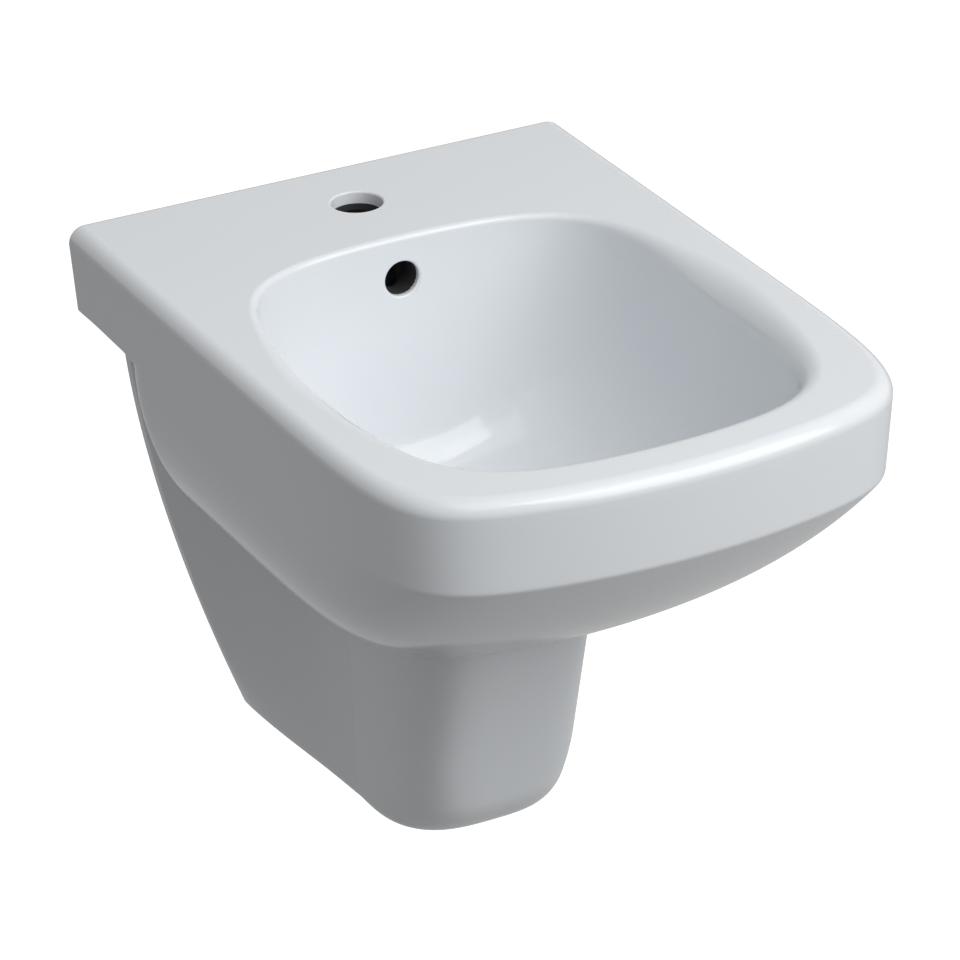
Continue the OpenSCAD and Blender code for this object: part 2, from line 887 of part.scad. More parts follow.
module stud_washers() {
    color(steel)
    both_studs() translate([0, 0, panel_t + sleeve_collar_t]) difference() {
        cylinder(h = stud_washer_t, d = 2 * stud_d);
        translate([0, 0, -1]) cylinder(h = stud_washer_t + 2, d = stud_thread_d + 2 * gap);
    }
}

module stud_nuts() {
    flats = 1.5 * stud_d + 1;
    color(steel)
    both_studs() translate([0, 0, panel_t + sleeve_collar_t + stud_washer_t]) difference() {
        intersection() {
            cylinder(h = stud_nut_t, d = flats / cos(30), $fn = 6);
            translate([0, 0, -0.01]) cylinder(h = stud_nut_t + 0.02, d = flats / cos(30) - 0.9);
        }
        translate([0, 0, -1]) cylinder(h = stud_nut_t + 2, d = stud_thread_d + 2 * fit);
    }
}

ceramic_body();
waste_body();
flange_seal();
cone_washer();
slip_washer();
back_nut();
plug_housing();
plug_spring();
plug_stem();
plug_seal();
plug_cap();
inlet_nut();
inlet_washer();
inlet_pipe();
trap_bottle();
head_seal();
head_nut();
trap_cup();
cup_seal();
outlet_seal();
outlet_nut();
outlet_pipe();
wall_rosette();
wall_studs();
stud_sleeves();
stud_washers();
stud_nuts();
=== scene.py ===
from math import cos, pi, radians, sin, tau

import bmesh
import bpy
import numpy as np
from bpy.props import FloatProperty, FloatVectorProperty, IntProperty, PointerProperty
from mathutils import Matrix, Vector


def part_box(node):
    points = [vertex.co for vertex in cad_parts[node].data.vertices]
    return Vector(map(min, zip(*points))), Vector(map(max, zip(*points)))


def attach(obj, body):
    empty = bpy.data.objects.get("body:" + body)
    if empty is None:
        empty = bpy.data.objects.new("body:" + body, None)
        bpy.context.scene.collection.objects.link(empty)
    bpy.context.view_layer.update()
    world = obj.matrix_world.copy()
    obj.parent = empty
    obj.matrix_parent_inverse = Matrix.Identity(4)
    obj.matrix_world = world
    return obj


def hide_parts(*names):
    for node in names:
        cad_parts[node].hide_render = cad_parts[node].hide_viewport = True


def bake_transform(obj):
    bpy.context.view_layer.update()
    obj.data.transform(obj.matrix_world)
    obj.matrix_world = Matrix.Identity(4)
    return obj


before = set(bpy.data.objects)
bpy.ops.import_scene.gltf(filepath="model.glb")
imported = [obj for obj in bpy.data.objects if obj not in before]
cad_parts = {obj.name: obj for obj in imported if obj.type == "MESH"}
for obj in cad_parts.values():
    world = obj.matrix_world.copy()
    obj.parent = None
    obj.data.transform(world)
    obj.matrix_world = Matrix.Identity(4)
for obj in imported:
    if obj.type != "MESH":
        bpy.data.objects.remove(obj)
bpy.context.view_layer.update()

bl_info = {
    "name": "Wall Hung Bidet",
    "version": (1, 0, 0),
    "blender": (4, 5, 0),
    "location": "3D Viewport > Sidebar > Bidet",
    "description": "Builds a glazed wall hung bidet with its waste, trap and wall fixings",
    "category": "Add Mesh",
}

CASTING_LOW, CASTING_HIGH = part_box("ceramic_body")
DECK = CASTING_HIGH.z
BIDET = "bidet"
PLUG = "plug"

# Places of the waste's axis, the outlet's axis, the studs, the tap hole and the overflow's duct
WASTE_Y = -0.200
OUTLET_Z = -0.202
STUD_X = 0.090
TAP_Y = -0.056
DUCT_Y = -0.095

# How far a tool reaches past the face that it cuts
PAST = 0.001

# Radii: the trap's pipes, what slides over a pipe, a seal round one, what goes over the waste's tail, and the
# plug's stem with what slides over it
PIPE, PIPE_BORE, OVER_PIPE, ROUND_PIPE = 0.016, 0.0144, 0.0163, 0.01605
OVER_TAIL = 0.021
STEM, OVER_STEM = 0.004, 0.00405


# Sizes and colours that a user would change


def length(name, description, default):
    return FloatProperty(name=name, description=description, unit="LENGTH", default=default)


def surface_colour(name, description, *rgb):
    return FloatVectorProperty(
        name=name, description=description, subtype="COLOR", size=4, default=(*rgb, 1.0))


class CastingSizes(bpy.types.PropertyGroup):
    """Sizes of the glazed casting, depths from the deck and reaches from the wall"""

    width: length("Width", "Width of the deck", CASTING_HIGH.x - CASTING_LOW.x)
    reach: length("Reach", "Reach of the front rim from the wall", -CASTING_LOW.y)
    height: length(
        "Height", "Height from the deck to the foot of the trap cover", CASTING_HIGH.z - CASTING_LOW.z)
    rim_radius: length("Rim Radius", "Rounding of the rim's outer edge", 0.011)
    apron: length("Apron", "Height of the upright apron", 0.062)
    lean: length("Apron Lean", "Inward lean of the apron at its lower edge", 0.0035)
    bow: length("Front Bow", "Radius of the bow across the front", 0.470)
    underside: length("Underside", "Depth where the bowl's underside meets the trap cover", 0.209)
    wall: length("Wall", "Thickness of the casting's walls", 0.012)
    deck: length("Deck Thickness", "Thickness of the deck over the tap space", 0.013)
    panel: length("Rear Panel", "Thickness of the panel that the studs clamp", 0.016)
    bowl_depth: length("Bowl Depth", "Depth of the bowl's floor", 0.160)
    tap_hole: length("Tap Hole", "Diameter of the hole for the tap", 0.034)
    overflow_hole: length("Overflow Hole", "Diameter of the overflow hole", 0.024)
    # The two glaze depths set where the painted shade inside each hole begins; below them the hole is
    # near-black.
    overflow_glaze: length("Overflow Glaze", "Depth to which the glaze runs into the overflow hole", 0.004)
    tap_glaze: length("Tap Glaze", "Depth to which the glaze runs into the tap hole", 0.0085)
    hole_softness: length("Hole Softness", "Rounding of the glazed edge of each hole", 0.0015)
    detail: IntProperty(
        name="Detail", description="Points across each half of the front", default=110, min=24, max=240)


class Finishes(bpy.types.PropertyGroup):
    """Colours of the surfaces"""

    glaze: surface_colour("Glaze", "Colour of the glazed china", 0.775, 0.805, 0.832)
    # The bare china is kept greyer than fresh biscuit: partly the dull tone of unglazed china, partly painted
    # shade that darkens the hollow seen through the holes.
    biscuit: surface_colour("Bare China", "Colour of the unglazed china against the wall", 0.47, 0.44, 0.39)
    # Painted shade: this near-black colour inside the holes and the overflow's duct stands for the shadow
    # deep in them.
    painted_hole_shade: surface_colour(
        "Hole Shade", "Colour inside the overflow and under the tap hole's glaze", 0.032, 0.032, 0.034)
    chrome: surface_colour("Chrome", "Colour of the chrome plate", 0.72, 0.73, 0.75)
    brass: surface_colour("Brass", "Colour of the turned brass", 0.62, 0.44, 0.17)
    rubber: surface_colour("Rubber", "Colour of the seals", 0.016, 0.016, 0.018)
    plastic: surface_colour("Plastic", "Colour of the moulded trap and sleeves", 0.74, 0.74, 0.71)
    steel: surface_colour("Zinc Plate", "Colour of the plated steel", 0.50, 0.52, 0.55)


class StageSizes(bpy.types.PropertyGroup):
    """Camera and light of the studio"""

    camera_place: FloatVectorProperty(
        name="Camera", description="Place of the camera", subtype="TRANSLATION", size=3,
        default=(-1.27781, -2.75361, 1.39226))
    camera_azimuth: FloatProperty(
        name="Azimuth", description="Heading of the camera", subtype="ANGLE", default=radians(26.790))
    camera_elevation: FloatProperty(
        name="Elevation", description="Downward tilt of the camera", subtype="ANGLE",
        default=radians(26.719))
    camera_roll: FloatProperty(
        name="Roll", description="Turn of the camera about its view", subtype="ANGLE",
        default=radians(-1.520))
    lens: FloatProperty(
        name="Lens", description="Focal length in millimetres on a 36 mm sensor", default=187.5)
    floor_level: length("Floor", "Height of the studio floor", -1.0)
    floor_bounce: FloatProperty(
        name="Floor Bounce", description="Share of the light that the floor throws back up", default=0.26)
    floor_glow: FloatProperty(
        name="Floor Glow", description="Lift of the floor to white, as the camera sees it", default=0.65)
    lamp_size: length("Lamp Size", "Width of each lamp", 2.4)
    lamp_distance: length("Lamp Distance", "Distance of each lamp from the bidet", 3.0)
    key_power: FloatProperty(
        name="Key Light", description="Power of the lamp on the right of the front", unit="POWER",
        default=57.5)
    top_power: FloatProperty(
        name="Top Light", description="Power of the lamp high in front", unit="POWER", default=21.0)
    ambient: FloatProperty(
        name="Ambient", description="Level of the even light from all round", default=0.454)


# Forms of the casting. Depths and reaches are in metres, and a ray is a start, cosine and sine.


def ease(t):
    t = np.clip(t, 0, 1)
    return t * t * (3 - 2 * t)


def edge_inset(radius, past):
    """Inset of a rounded edge, this far past its start."""
    return radius - np.sqrt(np.clip(radius**2 - np.clip(past, 0, None) ** 2, 0, None))


def smooth_max(a, b, blend):
    t = np.clip(0.5 + 0.5 * (a - b) / blend, 0, 1)
    return b + (a - b) * t + blend * t * (1 - t)


def plan_reach(ray, half, front, bow, form):
    """Distance along a ray to a plan with straight sides and a bowed front."""
    start, cosine, sine = ray
    middle = start + front - bow
    b = middle * sine
    arc = np.sqrt(np.clip(b * b - middle**2 + bow**2, 1e-8, None)) - b
    side = np.clip(cosine, 1e-9, None) / half
    return (side**form + np.clip(arc, 1e-5, None) ** -form) ** (-1 / form)


def fan(starts, count):
    """Rays from the middle line: level at each start, then fanned, closest at the front corners."""
    last, gather, turn = starts[-1], 0.1745, 0.942
    share = np.linspace(0, 1, count + 1)[1:]
    angles = share * pi / 2 + gather * (np.sin(tau * share - turn) + sin(turn))
    return np.concatenate([
        np.stack([starts, np.ones(len(starts)), np.zeros(len(starts))]),
        np.stack([np.full(count, last), np.cos(angles), -np.sin(angles)]),
    ], axis=1)


class CastingForm:
    """Outline of the casting at any depth, from its sizes."""

    fan_reach = 0.150
    corner_form = 10.0
    cover_form, foot_form, foot_run = 5.0, 3.0, 0.070
    flare_top, flare_foot, flare_run, flare_flat = 0.148, 0.070, 0.113, 0.008
    flare_power, flare_fall = 1.6, 2.0
    cover_top, cover_foot, cover_side, cover_at = 0.063, 0.052, 0.071, 0.250
    cover_reach, cover_lean = 0.286, 0.272
    foot_radius, foot_side_radius = 0.036, 0.009
    core_half, core_reach = 0.040, 0.250
    underside_run, blend = 0.095, 0.014
    front_power, side_power, side_root, underside_form = 0.53, 2.0, 0.4, 2.2
    back_edge = 0.0005

    def __init__(self, sizes):
        self.sizes = sizes

    def down(self, depth):
        """0 at the apron's lower edge and 1 at the foot."""
        return np.clip((depth - self.sizes.apron) / (self.sizes.height - self.sizes.apron), 0, 1)

    def wall_half(self, depth):
        return self.flare_top - (self.flare_top - self.flare_foot) * self.down(depth) ** self.flare_power

    def cover_front(self, depth):
        s = self.sizes
        front = self.cover_reach - self.cover_lean * np.clip(depth - s.underside, 0, None)
        return front - edge_inset(self.foot_radius, depth - (s.height - self.foot_radius))

    def cover_half(self, reach, depth):
        near = np.minimum(self.cover_side, self.wall_half(depth))
        far = self.cover_top + (self.cover_foot - self.cover_top) * self.down(depth)
        side = near + (far - near) * np.clip(reach / self.cover_at, 0, 1)
        fall = (1 - np.clip((reach - self.flare_flat) / self.flare_run, 0, 1)) ** self.flare_fall
        foot = edge_inset(self.foot_side_radius, depth - (self.sizes.height - self.foot_side_radius))
        return side + (self.wall_half(depth) - side) * fall - foot

    def cover_plan(self, ray, depth):
        turn = ease((depth - self.sizes.height + self.foot_run) / self.foot_run)
        form = self.cover_form + (self.foot_form - self.cover_form) * turn
        start, cosine, sine = ray
        ahead = np.where(sine < -1e-6, (self.cover_front(depth) + start) / np.clip(-sine, 1e-6, None), 1e3)
        side = np.clip(cosine, 1e-9, None) / self.cover_half(-start, depth)
        return (side**form + np.clip(ahead, 1e-5, None) ** -form) ** (-1 / form)

    def underside_plan(self, ray, depth):
        s = self.sizes
        t = np.clip((depth - s.apron) / (s.underside - s.apron), 0, 1)
        front_share = (1 - t) ** self.front_power
        side_share = (1 - t**self.side_power) ** self.side_root
        half = self.core_half + (s.width / 2 - s.lean - self.core_half) * side_share
        front = self.core_reach + (s.reach - s.lean - self.core_reach) * front_share
        form = self.underside_form + (self.corner_form - self.underside_form) * np.sqrt(1 - t)
        reach = plan_reach(ray, half, front, s.bow * (0.4 + 0.6 * front_share), form)
        root = 0.8 * self.wall_half(depth)
        near_wall = root + (reach - root) * ease(-ray[0] / self.underside_run)
        return np.where(np.abs(ray[2]) < 1e-9, near_wall, reach)

    def apron_plan(self, ray, depth):
        s = self.sizes
        inset = edge_inset(s.rim_radius, s.rim_radius - depth)
        inset = inset + s.lean * np.clip((depth - s.rim_radius) / (s.apron - s.rim_radius), 0, 1)
        return plan_reach(ray, s.width / 2 - inset, s.reach - inset, s.bow, self.corner_form)

    def outline(self, ray, depth):
        """Reach of the outer skin along each ray, for rays across and depths down."""
        s = self.sizes
        cover = self.cover_plan(ray, depth)
        swell = smooth_max(
            self.underside_plan(ray, depth), cover,
            self.blend * np.clip((depth - s.apron) / 0.020 + 0.05, 0, 1))
        lower = np.where(depth >= s.underside, cover, swell)
        return np.where(depth <= s.apron, self.apron_plan(ray, depth), lower)

    def outer_rings(self):
        """Rings of the outer skin, softened along the apron's lower edge as glaze does."""
        s = self.sizes
        starts = -self.fan_reach * np.linspace(0, 1, 25) ** 1.3
        starts = np.concatenate([-self.back_edge * np.array([0, 0.13, 0.5, 1.0]), starts[1:] - 0.002])
        starts[-1] = -self.fan_reach
        ray = fan(starts, s.detail)[:, None, :]
        fine = np.linspace(0, s.height, 773)
        reach = self.outline(ray, fine[:, None])
        window, spread = 8, 2.6
        weights = np.exp(-0.5 * (np.arange(-window, window + 1) / spread) ** 2)
        weights /= weights.sum()
        padded = np.pad(reach, ((window, window), (0, 0)), mode="edge")
        soft = sum(w * padded[i:i + len(fine)] for i, w in enumerate(weights))
        soft_from, soft_to = 0.035, s.height - 0.012
        inside = ease((fine - soft_from) / 0.010) * (1 - ease((fine - soft_to) / 0.008))
        reach = reach + (soft - reach) * inside[:, None]
        edge = 0.006
        rounded = s.rim_radius * (1 - np.cos(np.linspace(0, pi / 2, 13)))
        foot = s.height - self.foot_radius + self.foot_radius * np.sin(np.linspace(0, pi / 2, 22)[1:])
        foot = np.append(foot, s.height - np.array([0.0002, 0.0008, 0.0018, 0.0032]))
        depths = np.unique(np.concatenate([
            rounded,
            np.linspace(s.rim_radius, s.apron - edge, 8),
            np.linspace(s.apron - edge, s.apron + edge, 17),
            np.linspace(s.apron + edge, s.underside, 44),
            np.linspace(s.underside, s.height - self.foot_radius, 18),
            foot,
        ]).round(6))
        sharp = self.outline(ray, depths[:, None])
        rows = np.stack([np.interp(depths, fine, column) for column in reach.T], axis=1)
        rows = np.where(((depths <= 0.03) | (depths > s.height - 0.012))[:, None], sharp, rows)
        rows = rows - edge_inset(self.back_edge, self.back_edge + ray[0])
        return rings_along(ray, rows, depths)

    def hollow_rings(self):
        """Rings of the space inside the skin, one wall in from it in every direction."""
        s = self.sizes
        starts = np.concatenate([[0.001, 0.0], np.linspace(-0.004, -self.fan_reach, 9)])
        ray = fan(starts, 36)[:, None, :]
        skin = ray.copy()
        skin[0] = np.minimum(skin[0], 0)
        lip = 0.002
        depths = np.unique(np.concatenate([
            [s.deck, 0.030, s.apron - s.wall, s.apron - 0.006, s.apron],
            np.linspace(s.apron, s.underside + 0.002, 24),
            np.linspace(s.underside, s.height - self.foot_radius, 8),
            np.linspace(s.height - self.foot_radius, s.height - lip, 9),
            s.height - lip * np.array([0.5, 0.13, 0.0, -0.5]),
        ]).round(6))
        turns = np.radians([0, 22.5, 45, 67.5, 90])
        reach = np.min([
            self.outline(skin, depths[:, None] + s.wall * sin(a)) - s.wall * cos(a) for a in turns], axis=0)
        reach = reach + edge_inset(lip, depths[:, None] - s.height + lip)
        return rings_along(ray, reach, depths)


def rings_along(ray, reach, depths):
    """Closed rings from their right halves."""
    half = np.stack([
        reach * ray[1],
        ray[0] + reach * ray[2],
        np.broadcast_to((DECK - depths)[:, None], reach.shape),
    ], axis=-1)
    mirrored = half[:, -2::-1] * np.array([-1, 1, 1])
    return np.concatenate([half, mirrored], axis=1)


class BowlForm:
    """The bowl: a bowed rectangle at the rim that turns into the round floor."""

    rear, front, half = 0.120, 0.456, 0.138
    floor_radius = 0.0355
    lip_side, lip_front, lip_rear = 0.020, 0.014, 0.004
    rear_steep, front_steep, side_steep = 3.0, 4.0, 4.5

    def __init__(self, sizes):
        self.sizes = sizes

    def share(self, depth, steep):
        """Share of the rim's outline that is left at a depth."""
        return np.sqrt(np.clip(1 - np.clip(depth / self.sizes.bowl_depth, 0, 1) ** steep, 0, None))

    def rings(self, depths, levels, count, grow=0.0):
        """Rings at some depths of the form, drawn at levels of their own."""
        angles = -tau * np.arange(count) / count
        cosine, sine = np.cos(angles), np.sin(angles)
        ray = np.stack([np.zeros(count), np.abs(cosine), -np.abs(sine)])[:, None, :]
        d = np.asarray(depths)[:, None]
        near = -WASTE_Y - self.floor_radius
        far = -WASTE_Y + self.floor_radius
        rear = near + (self.rear - near) * self.share(d, self.rear_steep)
        front = far + (self.front - far) * self.share(d, self.front_steep)
        half = self.floor_radius + (self.half - self.floor_radius) * self.share(d, self.side_steep)
        form = 2 + 3 * self.share(d, 2.0)
        reach = plan_reach(ray, half, (front - rear) / 2, self.sizes.bow, form)
        ends = np.where(sine > 0, self.lip_rear, self.lip_front)
        lip = self.lip_side + (ends - self.lip_side) * ease(np.abs(sine) * 1.15)
        reach = reach + edge_inset(lip[None, :], lip[None, :] - np.clip(d, 0, None)) + grow
        middle = (front + rear) / 2
        height = np.broadcast_to(DECK - np.asarray(levels)[:, None], reach.shape)
        return np.stack([reach * cosine, reach * sine - middle, height], axis=-1)


# Meshes


def mesh_of(name, vertices, faces):
    mesh = bpy.data.meshes.new(name)
    mesh.from_pydata([tuple(v) for v in vertices], [], faces)
    mesh.validate()
    return mesh


def object_of(name, mesh):
    piece = bpy.data.objects.new(name, mesh)
    bpy.context.scene.collection.objects.link(piece)
    return piece


def loft(name, rings):
    """Closed solid through level rings, top first, each clockwise from above."""
    levels, around = rings.shape[:2]
    faces = [list(range(around))]
    for i in range(levels - 1):
        for j in range(around):
            k = (j + 1) % around
            faces.append([i * around + j, (i + 1) * around + j, (i + 1) * around + k, i * around + k])
    faces.append([(levels - 1) * around + j for j in reversed(range(around))])
    mesh = mesh_of(name, rings.reshape(-1, 3), faces)
    tidy_mesh(mesh, 1e-7)
    return object_of(name, mesh)


def tidy_mesh(mesh, distance):
    """Joins points that coincide and turns every face outwards."""
    work = bmesh.new()
    work.from_mesh(mesh)
    bmesh.ops.remove_doubles(work, verts=work.verts, dist=distance)
    bmesh.ops.recalc_face_normals(work, faces=work.faces)
    work.to_mesh(mesh)
    work.free()


def box_solid(name, low, high):
    corners = [(x, y, z) for x in (low[0], high[0]) for y in (low[1], high[1]) for z in (low[2], high[2])]
    faces = [[0, 1, 3, 2], [4, 6, 7, 5], [0, 4, 5, 1], [2, 3, 7, 6], [0, 2, 6, 4], [1, 5, 7, 3]]
    return object_of(name, mesh_of(name, corners, faces))


def arc_points(start, end, centre, steps):
    """Points from start to end along the short arc about a centre."""
    a = np.array(start) - centre
    b = np.array(end) - centre
    turn = np.arctan2(a[0] * b[1] - a[1] * b[0], a @ b)
    points = []
    for i in range(steps + 1):
        t = turn * i / steps
        points.append(centre + np.array([a[0] * cos(t) - a[1] * sin(t), a[0] * sin(t) + a[1] * cos(t)]))
    return points


def rounded_profile(corners, steps=4):
    """Closed outline of (radius, height, rounding) corners with the roundings drawn as arcs."""
    points = []
    for i, (r, z, rounding) in enumerate(corners):
        here = np.array([r, z])
        if rounding <= 0:
            points.append(here)
            continue
        before = np.array(corners[i - 1][:2]) - here
        after = np.array(corners[(i + 1) % len(corners)][:2]) - here
        u, v = before / np.linalg.norm(before), after / np.linalg.norm(after)
        angle = np.arccos(np.clip(u @ v, -1, 1))
        along = rounding / np.tan(angle / 2)
        centre = here + (u + v) / np.linalg.norm(u + v) * rounding / sin(angle / 2)
        points += arc_points(here + u * along, here + v * along, centre, steps)
    return points


def turned(name, corners, segments=96, turn=None):
    """Solid turned about Z from a closed profile. turn(points, angles) may shape its outside."""
    profile = np.array(rounded_profile(corners))
    angles = tau * np.arange(segments) / segments
    radius = np.broadcast_to(profile[:, 0:1], (len(profile), segments)).copy()
    height = np.broadcast_to(profile[:, 1:2], radius.shape)
    if turn:
        radius = turn(radius, height, angles)
    vertices = np.stack([radius * np.cos(angles), radius * np.sin(angles), height], axis=-1)
    count = len(profile)
    faces = []
    for i in range(count):
        k = (i + 1) % count
        if profile[i][0] < 1e-9 and profile[k][0] < 1e-9:
            continue
        for j in range(segments):
            m = (j + 1) % segments
            faces.append([i * segments + j, i * segments + m, k * segments + m, k * segments + j])
    mesh = mesh_of(name, vertices.reshape(-1, 3), faces)
    tidy_mesh(mesh, 1e-7)
    return object_of(name, mesh)


def set_in_place(piece, matrix):
    piece.data.transform(matrix)
    if matrix.to_3x3().determinant() < 0:
        piece.data.flip_normals()
    return piece


def on_waste_axis(piece):
    return set_in_place(piece, Matrix.Translation((0, WASTE_Y, 0)))


def along_wall_axis(piece, x=0.0, z=0.0):
    """Stands a piece made along +Z so that it reaches out from the wall."""
    return set_in_place(piece, Matrix.Translation((x, 0, z)) @ Matrix.Rotation(pi / 2, 4, "X"))


def wear(piece, material):
    """Gives a piece, or what a tool will lay bare, one finish."""
    piece.data.materials.clear()
    piece.data.materials.append(material)
    return piece


def cut(piece, tool, operation="DIFFERENCE"):
    """Cuts a tool out of a piece and throws the tool away. The cut wears the tool's finish."""
    modifier = piece.modifiers.new("cut", "BOOLEAN")
    modifier.material_mode = "TRANSFER"
    modifier.object = tool
    modifier.operation = operation
    modifier.solver = "MANIFOLD"
    shape = piece.evaluated_get(bpy.context.evaluated_depsgraph_get())
    mesh = bpy.data.meshes.new_from_object(shape)
    piece.modifiers.clear()
    if len(mesh.polygons) < 4:
        raise RuntimeError(f"the cut of {tool.name} left nothing of {piece.name}")
    old = piece.data
    piece.data = mesh
    bpy.data.meshes.remove(old)
    bpy.data.objects.remove(tool)


def joined(name, parts):
    """One object from several that don't touch."""
    work = bmesh.new()
    for part in parts:
        work.from_mesh(part.data)
        mesh = part.data
        bpy.data.objects.remove(part)
        bpy.data.meshes.remove(mesh)
    mesh = bpy.data.meshes.new(name)
    work.to_mesh(mesh)
    work.free()
    return object_of(name, mesh)


def smooth(piece, angle=35.0):
    """Smooth shading between sharp edges, weighted to the large faces."""
    piece.data.shade_smooth()
    piece.data.set_sharp_from_angle(angle=radians(angle))
    weighted = piece.modifiers.new("weighted_normals", "WEIGHTED_NORMAL")
    weighted.keep_sharp = True
    weighted.weight = 60


def finish_piece(piece, node, material, body=BIDET, angle=35.0):
    """Lets a piece stand for its node. Without a material it keeps its own, without a body it is left
    unattached.
    """
    piece.name = node + "_detailed"
    piece.data.name = piece.name
    if material:
        wear(piece, material)
    smooth(piece, angle)
    if body:
        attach(piece, body)
    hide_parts(node)


# Shader maths


class Value:
    """A socket that adds a Math node for each operation on it."""

    def __init__(self, nodes, socket):
        self.nodes = nodes
        self.socket = socket

    def math(self, operation, a, b=None):
        sockets = {0: a} if b is None else {0: a, 1: b}
        return self.nodes.add("ShaderNodeMath", {"operation": operation}, sockets)

    def __add__(self, other):
        return self.math("ADD", self, other)

    def __radd__(self, other):
        return self.math("ADD", other, self)

    def __sub__(self, other):
        return self.math("SUBTRACT", self, other)

    def __rsub__(self, other):
        return self.math("SUBTRACT", other, self)

    def __mul__(self, other):
        return self.math("MULTIPLY", self, other)

    def __rmul__(self, other):
        return self.math("MULTIPLY", other, self)

    def either(self, other):
        return self.math("MAXIMUM", self, other)

    def above(self, edge, run):
        """0 below the edge and 1 from one run above it."""
        return self.nodes.add(
            "ShaderNodeMapRange", {"clamp": True},
            {"Value": self, "From Min": edge, "From Max": edge + run})


class Nodes:
    """A node tree whose nodes all come from one method."""

    def __init__(self, tree):
        self.tree = tree

    def add(self, kind, settings, sockets, output=0):
        """Any node: its settings first, then the values or links of its sockets."""
        node = self.tree.nodes.new(kind)
        for key, value in settings.items():
            setattr(node, key, value)
        for key, value in sockets.items():
            self.put(node.inputs[key], value)
        return Value(self, node.outputs[output]) if node.outputs else None

    def put(self, socket, value):
        if isinstance(value, Value):
            self.tree.links.new(value.socket, socket)
        else:
            socket.default_value = value

    def rays(self, kind, *others):
        """1 for a ray of any of these kinds, and 0 for every other ray."""
        seen = self.add("ShaderNodeLightPath", {}, {}, kind)
        for other in others:
            seen = seen.either(self.add("ShaderNodeLightPath", {}, {}, other))
        return seen


class Finish(Nodes):
    """A node material around one Principled shader."""

    def __init__(self, name):
        self.material = bpy.data.materials.new(name)
        self.material.use_nodes = True
        super().__init__(self.material.node_tree)
        self.shader = self.tree.nodes["Principled BSDF"]
        self.place = self.add("ShaderNodeTexCoord", {}, {}, "Object")

    def noise(self, scale, detail=2.0, roughness=0.5, place=None):
        return self.add(
            "ShaderNodeTexNoise", {},
            {"Vector": place or self.place, "Scale": scale, "Detail": detail, "Roughness": roughness})

    def stretched(self, x, y, z):
        return self.add(
            "ShaderNodeVectorMath", {"operation": "MULTIPLY"}, {0: self.place, 1: (x, y, z)})

    def part_of_place(self, axis):
        return self.add("ShaderNodeSeparateXYZ", {}, {"Vector": self.place}, axis)

    def mix(self, factor, a, b):
        """Blends two colours."""
        return self.add("ShaderNodeMix", {"data_type": "RGBA"}, {0: factor, 6: a, 7: b}, 2)

    def mix_value(self, factor, a, b):
        """Blends two numbers."""
        return self.add("ShaderNodeMix", {"data_type": "FLOAT"}, {0: factor, 2: a, 3: b}, 0)

    def bump(self, height, strength, distance):
        return self.add(
            "ShaderNodeBump", {}, {"Height": height, "Strength": strength, "Distance": distance}, "Normal")

    def set(self, **sockets):
        for key, value in sockets.items():
            self.put(self.shader.inputs[key.replace("_", " ")], value)
        return self.material


def shade(colour, factor):
    """A colour made lighter or darker by one factor."""
    return tuple(min(1.0, c * factor) for c in colour[:3]) + (1.0,)


def tint(colour, other):
    return tuple(min(1.0, c * o) for c, o in zip(colour[:3], other)) + (1.0,)


def grey(level):
    return (level, level, level, 1.0)


def glaze_finish(colours):
    """Glossy white china: thick even glaze with a faint flow, bare and matt against the wall."""
    f = Finish("glazed_china")
    colour = tuple(colours.glaze)
    flow = f.noise(5.0, 2.0)
    pooled = f.mix(flow, shade(colour, 0.985), shade(colour, 1.015))
    grain = f.noise(900.0, 3.0)
    biscuit = tuple(colours.biscuit)
    bare = f.mix(grain, shade(biscuit, 0.88), shade(biscuit, 1.05))
    reach = f.part_of_place("Y")
    edge = f.noise(140.0, 2.0)
    edge_run = 0.0006
    against_wall = reach.above(-0.0011, edge_run)
    level = f.part_of_place("Z")
    foot = 1 - level.above(CASTING_LOW.z + edge_run, edge_run)
    bare_mask = against_wall.either(foot)
    ripple = f.noise(70.0, 1.0)
    pores = grain * bare_mask
    height = ripple * 0.6 + edge * 0.1 + pores * 1.2
    return f.set(
        Base_Color=f.mix(bare_mask, pooled, bare),
        Roughness=f.mix_value(bare_mask, 0.10 + flow * 0.05, 0.82),
        IOR=1.5,
        Normal=f.bump(height, 0.10, 0.0004),
    )


def bare_finish(name, colour):
    """Unglazed china inside the casting: matt, faintly gritty, with darker pour marks."""
    f = Finish(name)
    pour = f.noise(18.0, 4.0, 0.6, f.stretched(1.0, 1.0, 0.3))
    grit = f.noise(900.0, 3.0)
    return f.set(
        Base_Color=f.mix(pour, shade(colour, 0.86), shade(colour, 1.10)),
        Roughness=0.78 + grit * 0.14,
        Normal=f.bump(grit, 0.15, 0.0003),
    )


def chrome_finish(colours):
    """Bright plate with faint wipe marks."""
    f = Finish("chrome_plate")
    colour = tuple(colours.chrome)
    smudge = f.noise(60.0, 4.0, 0.6)
    wipe = f.noise(30.0, 3.0, 0.6, f.stretched(1.0, 14.0, 3.0))
    return f.set(
        Base_Color=f.mix(smudge, shade(colour, 0.96), shade(colour, 1.02)),
        Metallic=1.0,
        Roughness=0.05 + smudge * 0.06 + wipe * 0.03,
        Normal=f.bump(wipe, 0.03, 0.0002),
    )


def brass_finish(colours):
    """Turned brass with fine tool rings and a dull patina."""
    f = Finish("turned_brass")
    colour = tuple(colours.brass)
    patina = f.noise(80.0, 5.0, 0.6)
    rings = f.noise(260.0, 2.0, 0.5, f.stretched(0.05, 0.05, 18.0))
    return f.set(
        Base_Color=f.mix(patina, shade(colour, 0.72), shade(colour, 1.08)),
        Metallic=1.0,
        Roughness=0.24 + patina * 0.16,
        Normal=f.bump(rings, 0.12, 0.0002),
    )


